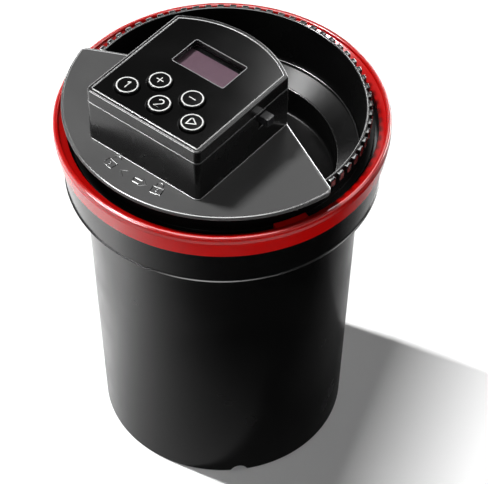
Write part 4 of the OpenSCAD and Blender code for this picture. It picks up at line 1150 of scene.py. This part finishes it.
class Reach(Enum):
    """What a lamp lights."""

    ALL = "all"
    FLOOR = "floor alone"
    OBJECT = "all but the floor"
    EDGES = "all but the flat tops"


@dataclass(frozen=True)
class Lamp:
    """A rectangular soft lamp that looks at the head: place and size in metres, power in watts."""

    name: str
    place: Triple
    size: Pair
    power: float
    reach: Reach = Reach.ALL
    lights: bool = True
    mirrored: bool = True
    aim: Triple = (0.0, 0.0, 0.13)

    def build(self, floor: bpy.types.Object, flats: list[bpy.types.Object]) -> None:
        """Make the lamp; it may only light the surfaces, or only be seen in the glossy ones.

        Args:
            floor: the floor, which the lamp lights alone or leaves out as its reach says.
            flats: the flat tops, which a lamp for the edges leaves out.
        """
        data = bpy.data.lights.new(self.name, "AREA")
        data.shape = "RECTANGLE"
        data.size, data.size_y = self.size
        data.energy = self.power
        lamp = put(self.name, data)
        lamp.location = self.place
        lamp.visible_diffuse = self.lights
        lamp.visible_glossy = self.mirrored
        lamp.rotation_euler = (Vector(self.aim) - Vector(self.place)).to_track_quat("-Z", "Y").to_euler()
        if self.reach is not Reach.ALL:
            receivers = bpy.data.collections.new(f"{self.name}_receivers")
            for named in flats if self.reach is Reach.EDGES else [floor]:
                receivers.objects.link(named)
            for row in receivers.collection_objects:
                row.light_linking.link_state = "INCLUDE" if self.reach is Reach.FLOOR else "EXCLUDE"
            lamp.light_linking.receiver_collection = receivers


@dataclass
class Studio:
    """Floor, surroundings, lamps and camera."""

    floor_half: float = 3.0
    floor_tint: str = "#f2f2f2"
    # Painted reflection of shade: glossy surfaces see the floor darken from near to far along this way.
    glossy_dark_way: Triple = (0.966, -0.259, 0.0)
    glossy_dark_near: float = -0.048
    glossy_dark_far: float = 0.112
    glossy_dark_power: float = 2.0
    # Painted light: the floor's glow grows from near to far along this way and fades the shadow out.
    shade_way: Triple = (0.944, 0.33, 0.0)
    shade_near: float = 0.06
    shade_far: float = 0.11
    glow_near: float = 0.05
    glow_far: float = 1.0
    dome_low: float = 0.3
    dome_high: float = 0.62
    horizon: float = 1.0
    ceiling: float = 0.04
    soft_cut: float = 0.74
    eye: Triple = (0.3756, -0.4556, 0.7263)
    view: Triple = (-0.4283, 0.5237, -0.7365)
    lens: float = 165.9
    sensor: float = 36.0
    shift: float = 0.0314
    clip: Pair = (0.01, 20.0)
    flats: tuple[str, ...] = ("head_plate", "fascia", *(f"button_cap_{k}" for k in SYMBOLS))
    lamps: tuple[Lamp, ...] = (
        Lamp("key_floor", (-1.889, -0.471, 0.787), (0.12, 0.12), 137.0, Reach.FLOOR),
        Lamp("key_left", (-0.58, -0.22, 1.3), (0.2, 0.2), 15.0, Reach.OBJECT),
        Lamp("fill_front", (0.7, -0.5, 1.0), (0.3, 0.3), 1.2, mirrored=False),
        Lamp("edge_front", (-0.52, -1.02, 0.49), (0.8, 0.4), 45.0, Reach.EDGES, lights=False),
        Lamp("edge_rear", (0.1, 1.3, 0.42), (1.2, 0.3), 32.0, Reach.EDGES, lights=False),
        Lamp("edge_left", (-0.96, 0.6, 0.53), (0.5, 0.3), 6.0, Reach.EDGES, lights=False),
        Lamp("edge_right", (0.6, 0.66, 0.95), (0.4, 0.4), 3.5, Reach.EDGES, lights=False),
        Lamp("top_sheen", (-0.13, 0.305, 0.553), (0.14, 0.14), 0.42, lights=False),
        Lamp("edge_top", (-0.1, -0.2, 1.6), (1.6, 1.2), 46.0, Reach.EDGES, lights=False),
    )

    def build(self) -> None:
        """Make the floor, the world, the lamps and the camera."""
        floor = self.floor()
        self.world()
        flats = [bpy.data.objects[name] for name in self.flats]
        for lamp in self.lamps:
            lamp.build(floor, flats)
        self.camera()

    def floor(self) -> bpy.types.Object:
        """A pale sheet that the camera sees a little brighter than its own light makes it.

        The glow is painted light: it grows along the shadow's way, so that the shadow fades out away from
        the head. Glossy surfaces see the sheet darken towards the front right, a painted reflection of shade
        where nothing dark stands.

        Returns:
            The floor.
        """
        half = self.floor_half
        mesh = bpy.data.meshes.new("floor")
        corners = [(-half, -half, 0), (half, -half, 0), (half, half, 0), (-half, half, 0)]
        mesh.from_pydata(corners, [], [(0, 1, 2, 3)])
        made = bpy.data.materials.new("studio_floor_white")
        tree = empty_tree(made)
        path = add(tree, "ShaderNodeLightPath")
        seen = add(tree, "ShaderNodeMath", operation="MAXIMUM",
                   links={0: path.outputs["Is Camera Ray"], 1: path.outputs["Is Glossy Ray"]})
        clear = add(tree, "ShaderNodeMath", operation="MAXIMUM",
                    links={0: seen.outputs[0], 1: path.outputs["Is Transmission Ray"]})
        place = add(tree, "ShaderNodeTexCoord")
        # Painted light: the glow grows along the shadow's way, so that the shadow fades out.
        away = add(tree, "ShaderNodeVectorMath", {1: self.shade_way}, {0: place.outputs["Object"]},
                   operation="DOT_PRODUCT")
        fade = add(tree, "ShaderNodeMapRange",
                   {"From Min": self.shade_near, "From Max": self.shade_far, "To Min": self.glow_near,
                    "To Max": self.glow_far}, {"Value": away.outputs["Value"]})
        glow = add(tree, "ShaderNodeMath", operation="MULTIPLY",
                   links={0: clear.outputs[0], 1: fade.outputs["Result"]})
        # Painted reflection of shade: for glossy rays the floor's tint darkens towards the front right.
        ahead = add(tree, "ShaderNodeVectorMath", {1: self.glossy_dark_way}, {0: place.outputs["Object"]},
                    operation="DOT_PRODUCT")
        undarkened = add(tree, "ShaderNodeMapRange",
                   {"From Min": self.glossy_dark_near, "From Max": self.glossy_dark_far, "To Min": 1.0, "To Max": 0.0},
                   {"Value": ahead.outputs["Value"]})
        pale = add(tree, "ShaderNodeMath", {1: self.glossy_dark_power}, {0: undarkened.outputs["Result"]},
                   operation="POWER")
        direct = add(tree, "ShaderNodeMath", {0: 1.0}, {1: path.outputs["Is Glossy Ray"]},
                     operation="SUBTRACT")
        share = add(tree, "ShaderNodeMath", operation="MAXIMUM",
                    links={0: pale.outputs[0], 1: direct.outputs[0]})
        tint = add(tree, "ShaderNodeMix", {6: (0, 0, 0, 1), 7: linear(self.floor_tint)},
                   {0: share.outputs[0]}, data_type="RGBA")
        matt = add(tree, "ShaderNodeBsdfDiffuse", links={"Color": tint.outputs[2]})
        light = add(tree, "ShaderNodeEmission",
                    links={"Color": tint.outputs[2], "Strength": glow.outputs[0]})
        both = add(tree, "ShaderNodeAddShader", links={0: matt.outputs[0], 1: light.outputs[0]})
        add(tree, "ShaderNodeOutputMaterial", links={"Surface": both.outputs[0]})
        mesh.materials.append(made)
        floor = put("floor", mesh)
        return floor

    def world(self) -> None:
        """White round the horizon and a darker ceiling, as in a studio; diffuse light is a soft grey."""
        world = bpy.data.worlds.new("studio")
        bpy.context.scene.world = world
        tree = empty_tree(world)
        way = add(tree, "ShaderNodeTexCoord")
        parts = add(tree, "ShaderNodeSeparateXYZ", links={0: way.outputs["Generated"]})
        dome = add(tree, "ShaderNodeMapRange",
                   {"From Min": self.dome_low, "From Max": self.dome_high, "To Min": self.horizon,
                    "To Max": self.ceiling}, {"Value": parts.outputs["Z"]})
        path = add(tree, "ShaderNodeLightPath")
        soft = add(tree, "ShaderNodeMath", {1: self.soft_cut}, {0: path.outputs["Is Diffuse Ray"]},
                   operation="MULTIPLY")
        level = add(tree, "ShaderNodeMath", {0: 1.0}, {1: soft.outputs[0]}, operation="SUBTRACT")
        strength = add(tree, "ShaderNodeMath", operation="MULTIPLY",
                       links={0: dome.outputs["Result"], 1: level.outputs[0]})
        sky = add(tree, "ShaderNodeBackground", {"Color": (1, 1, 1, 1)}, {"Strength": strength.outputs[0]})
        add(tree, "ShaderNodeOutputWorld", links={"Surface": sky.outputs[0]})

    def camera(self) -> None:
        """The camera at the photograph's place, without roll."""
        data = bpy.data.cameras.new("camera")
        data.lens, data.sensor_width, data.shift_x = self.lens, self.sensor, self.shift
        data.clip_start, data.clip_end = self.clip
        eye = put("camera", data)
        eye.location = self.eye
        eye.rotation_euler = Vector(self.view).to_track_quat("-Z", "Y").to_euler()
        bpy.context.scene.camera = eye


def main() -> None:
    """Build the processor and its studio."""
    logging.basicConfig(level=logging.INFO, format="%(name)s: %(message)s")
    bpy.context.scene.view_settings.view_transform = "Standard"
    for assembly in (Tank(), Funnel(), Head(), Works(), Studio()):
        assembly.build()


if __name__ == "__main__":
    main()
